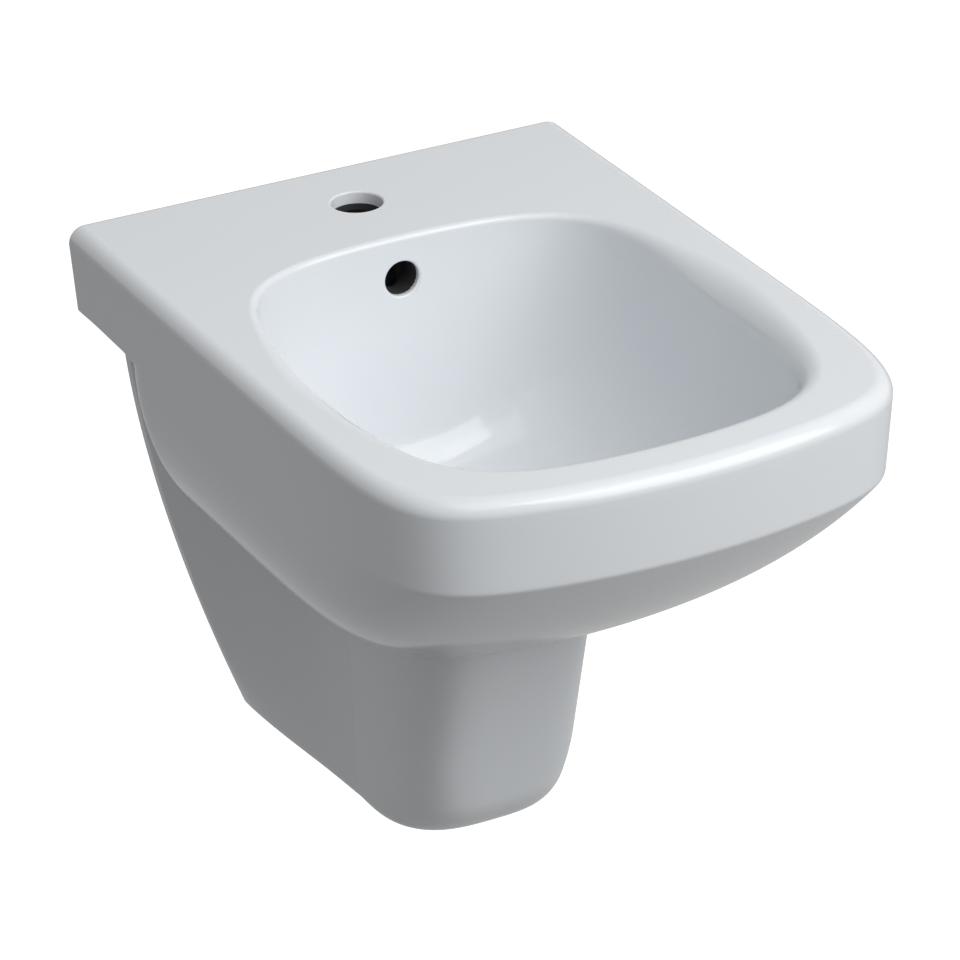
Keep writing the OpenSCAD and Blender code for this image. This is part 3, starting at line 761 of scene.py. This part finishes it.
def rubber_finish(colours):
    """Black seal rubber with a dusty bloom."""
    f = Finish("seal_rubber")
    colour = tuple(colours.rubber)
    bloom = f.noise(120.0, 5.0, 0.65)
    grain = f.noise(1600.0, 3.0)
    return f.set(
        Base_Color=f.mix(bloom, shade(colour, 0.8), shade(colour, 2.2)),
        Roughness=0.62 + bloom * 0.2,
        Normal=f.bump(grain, 0.25, 0.0001),
    )


def plastic_finish(colours):
    """Moulded white plastic with a fine satin grain."""
    f = Finish("moulded_plastic")
    colour = tuple(colours.plastic)
    flow = f.noise(40.0, 3.0)
    grain = f.noise(2400.0, 2.0)
    return f.set(
        Base_Color=f.mix(flow, shade(colour, 0.96), shade(colour, 1.03)),
        Roughness=0.36 + flow * 0.08,
        IOR=1.46,
        Normal=f.bump(grain, 0.10, 0.00008),
    )


def steel_finish(colours):
    """Zinc-plated steel with its patchy spangle."""
    f = Finish("zinc_plate")
    colour = tuple(colours.steel)
    spangle = f.add("ShaderNodeTexVoronoi", {}, {"Vector": f.place, "Scale": 220.0}, "Distance")
    cloud = f.noise(150.0, 4.0)
    return f.set(
        Base_Color=f.mix(cloud, tint(colour, (0.90, 0.94, 1.02)), tint(colour, (1.10, 1.08, 1.02))),
        Metallic=1.0,
        Roughness=0.28 + spangle * 0.20,
        Normal=f.bump(spangle, 0.06, 0.0002),
    )


# Shapes of the pieces


def span(node):
    """Lowest and highest level, and the radius, of a piece on the waste's axis."""
    low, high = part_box(node)
    return low.z, high.z, (high.x - low.x) / 2


def reach_span(node):
    """Nearest and furthest reach out of the wall, and the radius, of a piece on the outlet's axis."""
    low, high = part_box(node)
    return -high.y, -low.y, (high.x - low.x) / 2


def mouth(name, radius, deep, softness):
    """Tool for a round hole down from z = 0 with a softly rounded glazed edge."""
    arc = [
        (radius + softness - softness * cos(t), softness * (sin(t) - 1), 0)
        for t in np.linspace(0, pi / 2, 7)
    ]
    top = (radius + softness, 0.006, 0)
    return turned(name, [(0, -deep, 0), (radius, -deep, 0)] + arc + [top, (0, 0.006, 0)], 96)


def drill(name, radius, low, high, segments=96):
    return turned(name, [(0, low, 0), (radius, low, 0), (radius, high, 0), (0, high, 0)], segments)


class WasteSeat:
    """Boss, ribs and holes round the waste and the overflow's duct, levels down from the bowl's floor."""

    boss_radius, boss_deep, rib_half, rib_deep = 0.0375, 0.036, 0.0155, 0.030
    hole_radius, flange_radius, flange_deep = 0.0225, 0.0318, 0.005
    duct_radius, duct_deep, duct_top = 0.0075, 0.017, 0.024
    overflow_y, overflow_deep, overflow_run = -0.12008, 0.030, 0.0245


def casting_hollow(form, bowl, sizes):
    """The space in the casting: round the bowl, behind it for the tap and under it for the trap."""
    seat, floor = WasteSeat, DECK - sizes.bowl_depth
    hollow = loft("hollow", form.hollow_rings())
    skin = sizes.bowl_depth + sizes.wall
    levels = np.concatenate([[-0.001, 0.008], skin * np.sin(np.linspace(0, pi / 2, 25)[2:])])
    cut(hollow, loft("shell", bowl.rings(levels * sizes.bowl_depth / skin, levels, 96, sizes.wall)))
    side, panel_foot = sizes.width, DECK - 0.170
    cut(hollow, box_solid("panel", (-side, -sizes.panel, panel_foot), (side, 0.002, DECK)))
    boss = drill("boss", seat.boss_radius, floor - seat.boss_deep, floor + 0.020)
    cut(hollow, on_waste_axis(boss))
    half, foot = seat.rib_half, floor - seat.rib_deep
    cut(hollow, box_solid("rib", (-half, -0.120, foot), (half, -0.0825, DECK)))
    cut(hollow, box_solid("foot_rib", (-half, WASTE_Y, foot), (half, DUCT_Y, floor + 0.007)))
    return hollow


def casting_shape(sizes, glaze, bare, hole_shade):
    """The one-piece casting, cut as a potter pours it: a skin, a bowl, a hollow, then the holes."""
    form, bowl, seat = CastingForm(sizes), BowlForm(sizes), WasteSeat
    body = wear(loft("casting", form.outer_rings()), glaze)

    def carve(tool, finish, place=None):
        wear(tool, finish)
        cut(body, set_in_place(tool, place) if place else tool)

    lip = bowl.lip_side * (1 - np.cos(np.linspace(0, pi / 2, 17)))
    rest = sizes.bowl_depth * np.sin(np.linspace(0.142, pi / 2, 62))
    levels = np.unique(np.concatenate([[-0.002], lip, rest]).round(6))
    carve(loft("bowl", bowl.rings(levels, levels, 240)), glaze)
    carve(casting_hollow(form, bowl, sizes), bare)

    # Painted shade: past the glazed mouths, the tap hole, the overflow hole and the overflow's duct wear
    # near-black china that stands for the shadow deep inside them.
    soft, overlap = sizes.hole_softness, 0.0005
    tap, radius = Matrix.Translation((0, TAP_Y, DECK + 0.00002)), sizes.tap_hole / 2
    carve(mouth("tap_mouth", radius, sizes.tap_glaze, soft), glaze, tap)
    carve(drill("tap_hole", radius, -sizes.deck - PAST, overlap - sizes.tap_glaze), hole_shade, tap)
    overflow = Matrix.Translation((0, seat.overflow_y, DECK - seat.overflow_deep)) @ Matrix.Rotation(
        pi / 2, 4, "X")
    radius = sizes.overflow_hole / 2
    carve(mouth("overflow_mouth", radius, sizes.overflow_glaze, soft), glaze, overflow)
    carve(drill("overflow_hole", radius, -seat.overflow_run, overlap - sizes.overflow_glaze), hole_shade, overflow)

    floor = DECK - sizes.bowl_depth
    duct = floor - seat.duct_deep
    down = drill("duct", seat.duct_radius, duct, DECK - seat.duct_top, 48)
    carve(down, hole_shade, Matrix.Translation((0, DUCT_Y, 0)))
    carve(along_wall_axis(drill("duct_foot", seat.duct_radius, -DUCT_Y, -WASTE_Y, 48), 0, duct), bare)
    low, high = floor - seat.boss_deep - PAST, floor + PAST
    carve(on_waste_axis(drill("waste_hole", seat.hole_radius, low, high)), bare)
    carve(on_waste_axis(drill("flange_seat", seat.flange_radius, floor - seat.flange_deep, high)), glaze)
    for side in (-STUD_X, STUD_X):
        carve(along_wall_axis(drill("stud_hole", 0.011, -PAST, sizes.panel + PAST), side), bare)
    return body


def threaded(name, low, high, radius, pitch, depth, bore=0.0, segments=48):
    """Rod or tube with a helical thread that runs out at both ends."""
    last = 4 * int(np.ceil((high - low) / pitch)) + 1
    vertices, rows = [], list(range(-4, last + 1))
    for i in rows:
        for j in range(segments):
            z = min(max(low + pitch * (i / 4 + j / segments), low), high)
            crest = min(1.0, (z - low) / pitch, (high - z) / pitch) if i % 4 in (1, 2) else 0.0
            r = radius - depth * (1 - crest)
            vertices.append((r * cos(tau * j / segments), r * sin(tau * j / segments), z))

    def at(i, j):
        if j == segments:
            i, j = i + 4, 0
        return (min(i, last) + 4) * segments + j

    faces = [
        [at(i, j), at(i, j + 1), at(i + 1, j + 1), at(i + 1, j)]
        for i in rows[:-1] for j in range(segments)
    ]
    ends = [[at(-4, j) for j in range(segments)], [at(last, j) for j in range(segments)]]
    if bore:
        inner = []
        for z in (low, high):
            start = len(vertices)
            vertices += [(bore * cos(tau * j / segments), bore * sin(tau * j / segments), z)
                         for j in range(segments)]
            inner.append([start + j for j in range(segments)])
        for a, b in ((ends[0], inner[0]), (inner[0], inner[1]), (inner[1], ends[1])):
            faces += [[a[j - 1], a[j], b[j], b[j - 1]] for j in range(segments)]
    else:
        faces += ends
    faces = [face for face in faces if len({vertices[v] for v in face}) > 2]
    mesh = bpy.data.meshes.new(name)
    mesh.from_pydata(vertices, [], faces)
    tidy_mesh(mesh, 1e-7)
    mesh.validate()
    return object_of(name, mesh)


def washer(name, low, high, outer, bore, edge=0.0004, segments=96):
    return turned(name, [
        (bore, low, edge), (outer, low, edge), (outer, high, edge), (bore, high, edge)], segments)


def hex_nut(name, low, high, flats, bore, chamfer):
    """Six-sided nut with both ends turned to a cone, so that each flat ends in a curve."""
    corner = flats / 2 / cos(pi / 6)
    steps = np.linspace(0, 1, 6)
    foot = [(corner - chamfer * (1 - t), low + 0.6 * chamfer * t, 0) for t in steps]
    head = [(corner - chamfer * t, high - 0.6 * chamfer * (1 - t), 0) for t in steps]
    eased = 0.06 * bore

    def six_sides(radius, height, angles):
        flat = flats / 2 / np.cos((angles % (pi / 3)) - pi / 6)
        return np.where(radius > bore + eased, np.minimum(radius, flat), radius)

    mouth_low = [(bore + eased, low, 0), (bore, low + eased, 0)]
    mouth_high = [(bore, high - eased, 0), (bore + eased, high, 0)]
    return turned(name, foot + head + mouth_high[::-1] + mouth_low[::-1], 96, six_sides)


def grip(core, count, width, low, high):
    """Outside of a hand nut: soft ribs between two levels that fade out at their ends."""

    def ribs(radius, height, angles):
        outside = radius > core + 1e-6
        across = np.abs((angles * count / tau + 0.5) % 1 - 0.5) * tau * radius / count
        rib = 1 - ease((across - width * 0.30) / (width * 0.35))
        end = ease((height - low) / 0.0015) * ease((high - height) / 0.0015)
        return np.where(outside, core + (radius - core) * rib * end, radius)

    return ribs


def hand_nut(name, low, high, outer, bores):
    """Ribbed plastic nut. bores lists (radius, level) from its foot to its head."""
    core, bevel, ribs_end = outer - 0.0012, 0.0008, high - 0.002
    rows = [(outer, z, 0) for z in np.linspace(low + 0.0001, ribs_end - 0.0001, 14)]
    outside = [(core - bevel, low, 0), (core, low + bevel, 0)] + rows
    outside += [(core, high - bevel, 0), (core - bevel, high, 0)]
    inside = [(r, z, 0) for r, z in reversed(bores)]
    return turned(name, outside + inside, 192, grip(core, 12, 0.0032, low, ribs_end))


def coil_spring(name, low, high, radius, wire, turns):
    """Round wire wound with its end turns closed."""
    count, sides = 24 * turns, 12
    t = np.arange(count + 1) / count * turns
    close = wire + 0.0005
    free = high - low - wire
    opened = (free - 2 * close) / (turns - 2)
    rise = np.interp(t, [0, 1, turns - 1, turns], [0, close, close + opened * (turns - 2), free])
    angle = tau * t
    vertices = []
    for i in range(count + 1):
        for k in range(sides):
            a = tau * k / sides
            r = radius + wire / 2 * cos(a)
            vertices.append((
                r * cos(angle[i]), r * sin(angle[i]), low + wire / 2 + rise[i] + wire / 2 * sin(a)))
    faces = [
        [i * sides + k, i * sides + (k + 1) % sides, (i + 1) * sides + (k + 1) % sides, (i + 1) * sides + k]
        for i in range(count) for k in range(sides)
    ]
    faces += [list(range(sides)), [count * sides + k for k in reversed(range(sides))]]
    mesh = mesh_of(name, vertices, faces)
    tidy_mesh(mesh, 1e-8)
    return object_of(name, mesh)


def domed_cap(name, low, high, radius, crown):
    """Plug cap: a shallow dome, a rolled edge and a dished underside."""
    curve = (radius**2 + crown**2) / (2 * crown)
    shoulder = high - crown
    roll = 0.0011
    reach = np.linspace(radius - roll, 0, 24)
    dome = [(r, shoulder + crown - (curve - np.sqrt(curve**2 - r**2)) - roll * 0.2 * (r / radius)**8, 0)
            for r in reach]
    foot = [(0, low + 0.0006, 0), (radius - 0.004, low + 0.0006, 0), (radius - 0.0034, low, 0),
            (radius, low, 0.0005)]
    edge = [(radius, shoulder, roll)]
    return turned(name, foot + edge + dome, 160)


def waste_ring(node, bore, material, edge=0.0004):
    """Plain ring on the waste's axis, as deep and as wide as its node."""
    low, high, outer = span(node)
    finish_piece(on_waste_axis(washer("ring", low, high, outer, bore, edge)), node, material)


# Operators


def colours_of(context):
    return context.scene.bidet_finishes


class BIDET_OT_casting(bpy.types.Operator):
    """Add the glazed casting with its bowl, hollow, holes and overflow duct"""

    bl_idname = "bidet.casting"
    bl_label = "Glazed Casting"

    def execute(self, context):
        colours = colours_of(context)
        bare = bare_finish("bare_china", tuple(colours.biscuit))
        # The dark china is painted shade for the deep holes and the duct.
        hole_shade = bare_finish("hole_shade_china", tuple(colours.painted_hole_shade))
        body = casting_shape(context.scene.bidet_casting, glaze_finish(colours), bare, hole_shade)
        finish_piece(body, "ceramic_body", None, angle=32)
        return {"FINISHED"}


class BIDET_OT_waste(bpy.types.Operator):
    """Add the chrome waste with its seals, washers, brass nut and plug cartridge"""

    bl_idname = "bidet.waste"
    bl_label = "Waste Fitting"

    def execute(self, context):
        colours = colours_of(context)
        chrome, brass = chrome_finish(colours), brass_finish(colours)
        rubber, plastic = rubber_finish(colours), plastic_finish(colours)

        foot, top, flange = span("waste_body")
        thread, pitch, cut_deep, bore = 0.02095, 0.00231, 0.0010, 0.0175
        neck, under, shoulder = thread - 0.0012, top - 0.0035, top - 0.0055
        plate = turned("flange", [
            (bore, shoulder, 0.0003), (neck, shoulder, 0), (neck, under, 0), (flange, under, 0.0006),
            (flange, top - 0.0006, 0.0005), (flange - 0.003, top, 0.0006), (bore + 0.0030, top, 0.0012),
            (bore, top - 0.0030, 0.0012),
        ], 128)
        tail = threaded("tail", foot, under - 0.0001, thread, pitch, cut_deep, bore, 64)
        middle, half_wide, half_high = top - 0.0175, 0.006, 0.0065
        for quarter in range(4):
            window = box_solid(
                "window", (0, -half_wide, middle - half_high), (0.023, half_wide, middle + half_high))
            cut(tail, set_in_place(window, Matrix.Rotation(tau * (quarter + 0.5) / 4, 4, "Z")))
        finish_piece(on_waste_axis(joined("waste", [plate, tail])), "waste_body", chrome, angle=30)

        waste_ring("flange_seal", OVER_TAIL, rubber, 0.0007)

        low, high, outer = span("cone_washer")
        cone = turned("cone", [
            (OVER_TAIL, low, 0.0004), (outer - 0.005, low, 0.0008), (outer, high - 0.004, 0.0008),
            (outer, high, 0.0006), (OVER_TAIL, high, 0.0004)])
        finish_piece(on_waste_axis(cone), "cone_washer", rubber)

        waste_ring("slip_washer", OVER_TAIL, plastic)

        low, high, _ = span("back_nut")
        flats, chamfer = 0.0539, 0.0026
        nut = hex_nut("nut", low, high, flats, OVER_TAIL, chamfer)
        finish_piece(on_waste_axis(nut), "back_nut", brass, angle=24)

        low, high, outer = span("plug_housing")
        sleeve = washer("sleeve", low, high - 0.004, outer, outer - 0.002, 0.0005)
        guide = washer("guide", low, high, 0.0075, OVER_STEM, 0.0006, 64)
        arms = []
        for third in range(3):
            arm = box_solid("arm", (0.0070, -0.0015, low), (outer - 0.0010, 0.0015, high - 0.006))
            arms.append(set_in_place(arm, Matrix.Rotation(tau * third / 3 + pi / 2, 4, "Z")))
        housing = joined("housing", [sleeve, guide] + arms)
        finish_piece(on_waste_axis(housing), "plug_housing", plastic)
        return {"FINISHED"}


class BIDET_OT_plug(bpy.types.Operator):
    """Add the plug: its chrome cap, seal, brass stem and spring"""

    bl_idname = "bidet.plug"
    bl_label = "Plug"

    def execute(self, context):
        colours = colours_of(context)
        low, high, radius = span("plug_cap")
        cap = domed_cap("cap", low, high, radius, 0.0025)
        finish_piece(on_waste_axis(cap), "plug_cap", chrome_finish(colours), PLUG)

        low, high, radius = span("plug_seal")
        seal = turned("seal", [
            (OVER_STEM, low, 0.0003), (radius - 0.003, low, 0.0008), (radius, low + 0.0012, 0.0007),
            (radius, high, 0.0005), (OVER_STEM, high, 0.0003)])
        finish_piece(on_waste_axis(seal), "plug_seal", rubber_finish(colours), PLUG)

        low, high, collar = span("plug_stem")
        groove, ledge = STEM - 0.0005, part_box("plug_spring")[1].z + 0.0001
        rod = turned("stem", [
            (0, low, 0), (STEM, low, 0.0010), (STEM, low + 0.004, 0.0002), (groove, low + 0.0045, 0.0002),
            (groove, low + 0.006, 0.0002), (STEM, low + 0.0065, 0.0002), (STEM, ledge, 0.0001),
            (collar, ledge, 0.0003), (collar, ledge + 0.002, 0.0003), (STEM, ledge + 0.002, 0.0004),
            (STEM, high, 0), (0, high, 0)], 64)
        finish_piece(on_waste_axis(rod), "plug_stem", brass_finish(colours), PLUG)

        low, high, outer = span("plug_spring")
        wire = 0.0013
        coil = on_waste_axis(coil_spring("coil", low, high, outer - wire / 2, wire, 5))
        finish_piece(coil, "plug_spring", steel_finish(colours), None)
        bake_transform(coil)
        return {"FINISHED"}


class BIDET_OT_trap(bpy.types.Operator):
    """Add the bottle trap: inlet pipe and nut, neck, bottle, screw cup and seals"""

    bl_idname = "bidet.trap"
    bl_label = "Bottle Trap"

    def execute(self, context):
        colours = colours_of(context)
        rubber, plastic = rubber_finish(colours), plastic_finish(colours)

        low, high, outer = span("inlet_nut")
        brim = 0.003
        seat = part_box("inlet_pipe")[1].z - brim
        nut = hand_nut("nut", low, high, outer, [
            (OVER_PIPE, low), (OVER_PIPE, seat), (OVER_TAIL, seat), (OVER_TAIL, high)])
        finish_piece(on_waste_axis(nut), "inlet_nut", plastic)

        waste_ring("inlet_washer", PIPE_BORE, rubber)

        low, high, outer = span("inlet_pipe")
        tube = turned("tube", [
            (PIPE_BORE, low, 0.0005), (PIPE, low, 0.0008), (PIPE, high - brim, 0.0008),
            (outer, high - brim, 0.0005), (outer, high, 0.0005), (PIPE_BORE, high, 0.0003)])
        finish_piece(on_waste_axis(tube), "inlet_pipe", plastic)

        low, high, _ = span("trap_bottle")
        neck, bottle, wall = 0.020, 0.0265, 0.0026
        shoulder = high - 0.013
        spigot, spigot_end = 0.0192, 0.1525
        on_outlet = Matrix.Translation((0, -WASTE_Y, 0))
        shell = turned("bottle", [
            (0, low, 0), (bottle, low, 0.0005), (bottle, shoulder, 0.0035), (neck, shoulder, 0.0012),
            (neck, high, 0.0008), (0, high, 0)])
        branch = turned("branch", [
            (0, spigot_end, 0), (spigot, spigot_end, 0.0008), (spigot, -WASTE_Y, 0), (0, -WASTE_Y, 0)])
        cut(shell, set_in_place(along_wall_axis(branch, 0, OUTLET_Z), on_outlet), "UNION")
        room, roof = bottle - wall, shoulder - wall
        cut(shell, turned("room", [
            (0, low - PAST, 0), (room, low - PAST, 0), (room, roof, 0.003), (0, roof, 0)]))
        cut(shell, drill("throat", OVER_PIPE, roof - PAST, high + PAST))
        port = drill("port", OVER_PIPE, spigot_end - 0.0015, -WASTE_Y)
        cut(shell, set_in_place(along_wall_axis(port, 0, OUTLET_Z), on_outlet))
        finish_piece(on_waste_axis(shell), "trap_bottle", plastic)

        waste_ring("head_seal", ROUND_PIPE, rubber)

        low, high, outer = span("head_nut")
        lip = high - 0.0025
        nut = hand_nut("nut", low, high, outer, [
            (neck + 0.00005, low), (neck + 0.00005, lip), (OVER_PIPE, lip), (OVER_PIPE, high)])
        finish_piece(on_waste_axis(nut), "head_nut", plastic)

        low, high, outer = span("trap_cup")
        collar, floor = 0.0291, 0.009
        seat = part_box("cup_seal")[0].z
        arc = [(bottle - floor + floor * sin(t), low + floor - floor * cos(t), 0)
               for t in np.linspace(0, pi / 2, 8)]
        rows = [(outer, z, 0) for z in np.linspace(seat - 0.0045, seat + 0.0095, 12)]
        cup = turned("cup", [(0, low, 0)] + arc + [
            (bottle, seat - 0.0066, 0), (collar - 0.0008, seat - 0.006, 0), (collar, seat - 0.0052, 0),
        ] + rows + [
            (collar, high - 0.0008, 0), (collar - 0.0008, high, 0), (bottle + 0.00005, high, 0),
            (bottle + 0.00005, seat, 0), (room, seat, 0), (room, low + wall + 0.005, 0.004),
            (0, low + wall, 0)], 216, grip(collar, 18, 0.0026, seat - 0.0046, seat + 0.0096))
        finish_piece(on_waste_axis(cup), "trap_cup", plastic)

        waste_ring("cup_seal", room, rubber, 0.0006)
        return {"FINISHED"}


class BIDET_OT_outlet(bpy.types.Operator):
    """Add the outlet pipe to the wall with its nut, seal and chrome cover ring"""

    bl_idname = "bidet.outlet"
    bl_label = "Outlet Pipe"

    def execute(self, context):
        colours = colours_of(context)
        rubber, plastic = rubber_finish(colours), plastic_finish(colours)

        near, far, outer = reach_span("outlet_seal")
        ring = washer("ring", near, far, outer, ROUND_PIPE)
        finish_piece(along_wall_axis(ring, 0, OUTLET_Z), "outlet_seal", rubber)

        near, far, outer = reach_span("outlet_nut")
        lip, over_spigot = near + 0.0025, 0.01925
        nut = hand_nut("nut", near, far, outer, [
            (OVER_PIPE, near), (OVER_PIPE, lip), (over_spigot, lip), (over_spigot, far)])
        finish_piece(along_wall_axis(nut, 0, OUTLET_Z), "outlet_nut", plastic)

        near, far, outer = reach_span("outlet_pipe")
        eased, in_wall = PIPE - 0.0004, -0.002
        tube = turned("tube", [
            (PIPE_BORE, near, 0.0003), (eased, near, 0.0005), (eased, in_wall, 0), (PIPE, in_wall, 0.0002),
            (PIPE, far, 0.0006), (PIPE_BORE, far, 0.0004)])
        finish_piece(along_wall_axis(tube, 0, OUTLET_Z), "outlet_pipe", plastic)

        near, far, outer = reach_span("wall_rosette")
        neck, rim = OVER_PIPE + 0.003, 0.0015
        dome = [(neck + (outer - neck) * cos(t), rim + (far - rim) * sin(t), 0)
                for t in np.linspace(0, radians(78), 16)]
        ring = turned("ring", [(OVER_PIPE, near, 0), (outer, near, 0)] + dome + [
            (neck, far, 0.0008), (OVER_PIPE, far, 0.0005)], 128)
        finish_piece(along_wall_axis(ring, 0, OUTLET_Z), "wall_rosette", chrome_finish(colours))
        return {"FINISHED"}


class BIDET_OT_fixings(bpy.types.Operator):
    """Add the two wall studs with their sleeves, washers and nuts"""

    bl_idname = "bidet.fixings"
    bl_label = "Wall Fixings"

    def execute(self, context):
        colours = colours_of(context)
        steel, plastic = steel_finish(colours), plastic_finish(colours)

        def pair(name, make):
            return joined(name, [along_wall_axis(make(), side) for side in (-STUD_X, STUD_X)])

        near, far, _ = reach_span("wall_studs")

        def stud():
            point = threaded("point", near, 0.0, 0.006, pitch=0.0036, depth=0.0014)
            screw = threaded("screw", -0.0002, far, 0.0057, pitch=0.00175, depth=0.0007)
            return joined("stud", [point, screw])

        finish_piece(pair("studs", stud), "wall_studs", steel, angle=40)

        near, far, _ = reach_span("stud_sleeves")
        bore, body, collar = 0.0058, 0.01095, 0.016
        rim = far - 0.003
        finish_piece(pair("sleeves", lambda: turned("sleeve", [
            (bore, near, 0.0004), (body, near, 0.0008), (body, rim, 0.0002), (collar, rim, 0.0004),
            (collar, far, 0.0008), (bore, far, 0.0004)])), "stud_sleeves", plastic)

        near, far, _ = reach_span("stud_washers")
        finish_piece(pair("washers", lambda: washer("washer", near, far, 0.012, bore, 0.0005)),
                     "stud_washers", steel)

        near, far, _ = reach_span("stud_nuts")
        flats, thread, chamfer = 0.019, 0.0056, 0.0014
        finish_piece(pair("nuts", lambda: hex_nut("nut", near, far, flats, thread, chamfer)),
                     "stud_nuts", steel, angle=24)
        return {"FINISHED"}


class BIDET_OT_stage(bpy.types.Operator):
    """Add the camera, the plain floor and the soft light"""

    bl_idname = "bidet.stage"
    bl_label = "Stage"

    def execute(self, context):
        scene, stage = context.scene, context.scene.bidet_stage
        self.add_camera(scene, stage)
        self.add_floor(stage)
        self.add_lamp("key", stage, stage.key_power, azimuth=30, elevation=35)
        self.add_lamp("top", stage, stage.top_power, azimuth=0, elevation=60)
        self.set_world(scene, stage)
        scene.view_settings.view_transform = "Standard"
        return {"FINISHED"}

    def add_camera(self, scene, stage):
        az, el, roll = stage.camera_azimuth, stage.camera_elevation, stage.camera_roll
        ahead = Vector((sin(az) * cos(el), cos(az) * cos(el), -sin(el)))
        right = Vector((cos(az), -sin(az), 0))
        up = right.cross(ahead)
        across = cos(roll) * right + sin(roll) * up
        upright = -sin(roll) * right + cos(roll) * up
        data = bpy.data.cameras.new("camera")
        data.sensor_width = 36.0
        data.lens = stage.lens
        camera = object_of("camera", data)
        camera.matrix_world = Matrix.Translation(stage.camera_place) @ Matrix(
            (across, upright, -ahead)).transposed().to_4x4()
        scene.camera = camera

    def add_floor(self, stage):
        level, half = stage.floor_level, 30.0
        corners = [(-half, -half, level), (half, -half, level), (half, half, level), (-half, half, level)]
        floor = object_of("floor", mesh_of("floor", corners, [[0, 1, 2, 3]]))
        f = Finish("pale_floor")
        camera = f.rays("Is Camera Ray")
        seen = f.rays("Is Camera Ray", "Is Glossy Ray")
        paper = f.noise(3.0, 2.0)
        pale = f.mix(paper, grey(0.89), grey(0.91))
        f.set(
            Base_Color=f.mix(seen, grey(stage.floor_bounce), pale), Roughness=0.95, Specular_IOR_Level=0.0)
        paint = Value(f, f.shader.outputs[0])
        glow = f.add("ShaderNodeEmission", {}, {"Color": grey(1.0), "Strength": camera * stage.floor_glow})
        lit = f.add("ShaderNodeAddShader", {}, {0: paint, 1: glow})
        plain = f.add("ShaderNodeMixShader", {}, {0: seen, 1: paint, 2: lit})
        clear = f.add("ShaderNodeBsdfTransparent", {}, {})
        behind = f.add("ShaderNodeNewGeometry", {}, {}, "Backfacing")
        sides = f.add("ShaderNodeMixShader", {}, {0: behind, 1: plain, 2: clear})
        f.put(f.tree.nodes["Material Output"].inputs["Surface"], sides)
        floor.data.materials.append(f.material)

    def add_lamp(self, name, stage, power, azimuth, elevation):
        """Square lamp that faces the bidet, its azimuth from the front to the right."""
        data = bpy.data.lights.new(name, "AREA")
        data.shape = "SQUARE"
        data.size = stage.lamp_size
        data.energy = power
        az, el = radians(azimuth), radians(elevation)
        toward = Vector((sin(az) * cos(el), -cos(az) * cos(el), sin(el)))
        middle = Vector((0, -0.25, 0))
        lamp = object_of(name, data)
        lamp.matrix_world = Matrix.Translation(middle + stage.lamp_distance * toward) @ toward.to_track_quat(
            "Z", "Y").to_matrix().to_4x4()

    def set_world(self, scene, stage):
        world = bpy.data.worlds.new("studio")
        scene.world = world
        world.use_nodes = True
        world.node_tree.nodes.clear()
        n = Nodes(world.node_tree)
        seen = n.rays("Is Camera Ray", "Is Glossy Ray", "Is Transmission Ray")
        strength = n.add("ShaderNodeMapRange", {}, {"Value": seen, "To Min": stage.ambient, "To Max": 1.0})
        background = n.add("ShaderNodeBackground", {}, {"Color": grey(0.8), "Strength": strength})
        n.add("ShaderNodeOutputWorld", {}, {"Surface": background})


class BIDET_PT_parts(bpy.types.Panel):
    """Sizes, finishes and steps of the bidet"""

    bl_idname = "BIDET_PT_parts"
    bl_label = "Wall Hung Bidet"
    bl_space_type = "VIEW_3D"
    bl_region_type = "UI"
    bl_category = "Bidet"

    def draw(self, context):
        layout = self.layout
        for heading, group in (
            ("Casting", context.scene.bidet_casting),
            ("Finishes", context.scene.bidet_finishes),
            ("Stage", context.scene.bidet_stage),
        ):
            box = layout.box()
            box.label(text=heading)
            for name in group.bl_rna.properties.keys():
                if name not in {"rna_type", "name"}:
                    box.prop(group, name)
        for step in STEPS:
            layout.operator(step.bl_idname)


STEPS = (
    BIDET_OT_casting, BIDET_OT_waste, BIDET_OT_plug, BIDET_OT_trap, BIDET_OT_outlet, BIDET_OT_fixings,
    BIDET_OT_stage,
)
CLASSES = (CastingSizes, Finishes, StageSizes) + STEPS + (BIDET_PT_parts,)


def register():
    for cls in CLASSES:
        bpy.utils.register_class(cls)
    bpy.types.Scene.bidet_casting = PointerProperty(type=CastingSizes)
    bpy.types.Scene.bidet_finishes = PointerProperty(type=Finishes)
    bpy.types.Scene.bidet_stage = PointerProperty(type=StageSizes)


def unregister():
    del bpy.types.Scene.bidet_stage
    del bpy.types.Scene.bidet_finishes
    del bpy.types.Scene.bidet_casting
    for cls in reversed(CLASSES):
        bpy.utils.unregister_class(cls)


def main():
    register()
    bpy.ops.bidet.casting()
    bpy.ops.bidet.waste()
    bpy.ops.bidet.plug()
    bpy.ops.bidet.trap()
    bpy.ops.bidet.outlet()
    bpy.ops.bidet.fixings()
    bpy.ops.bidet.stage()


if __name__ == "__main__":
    main()
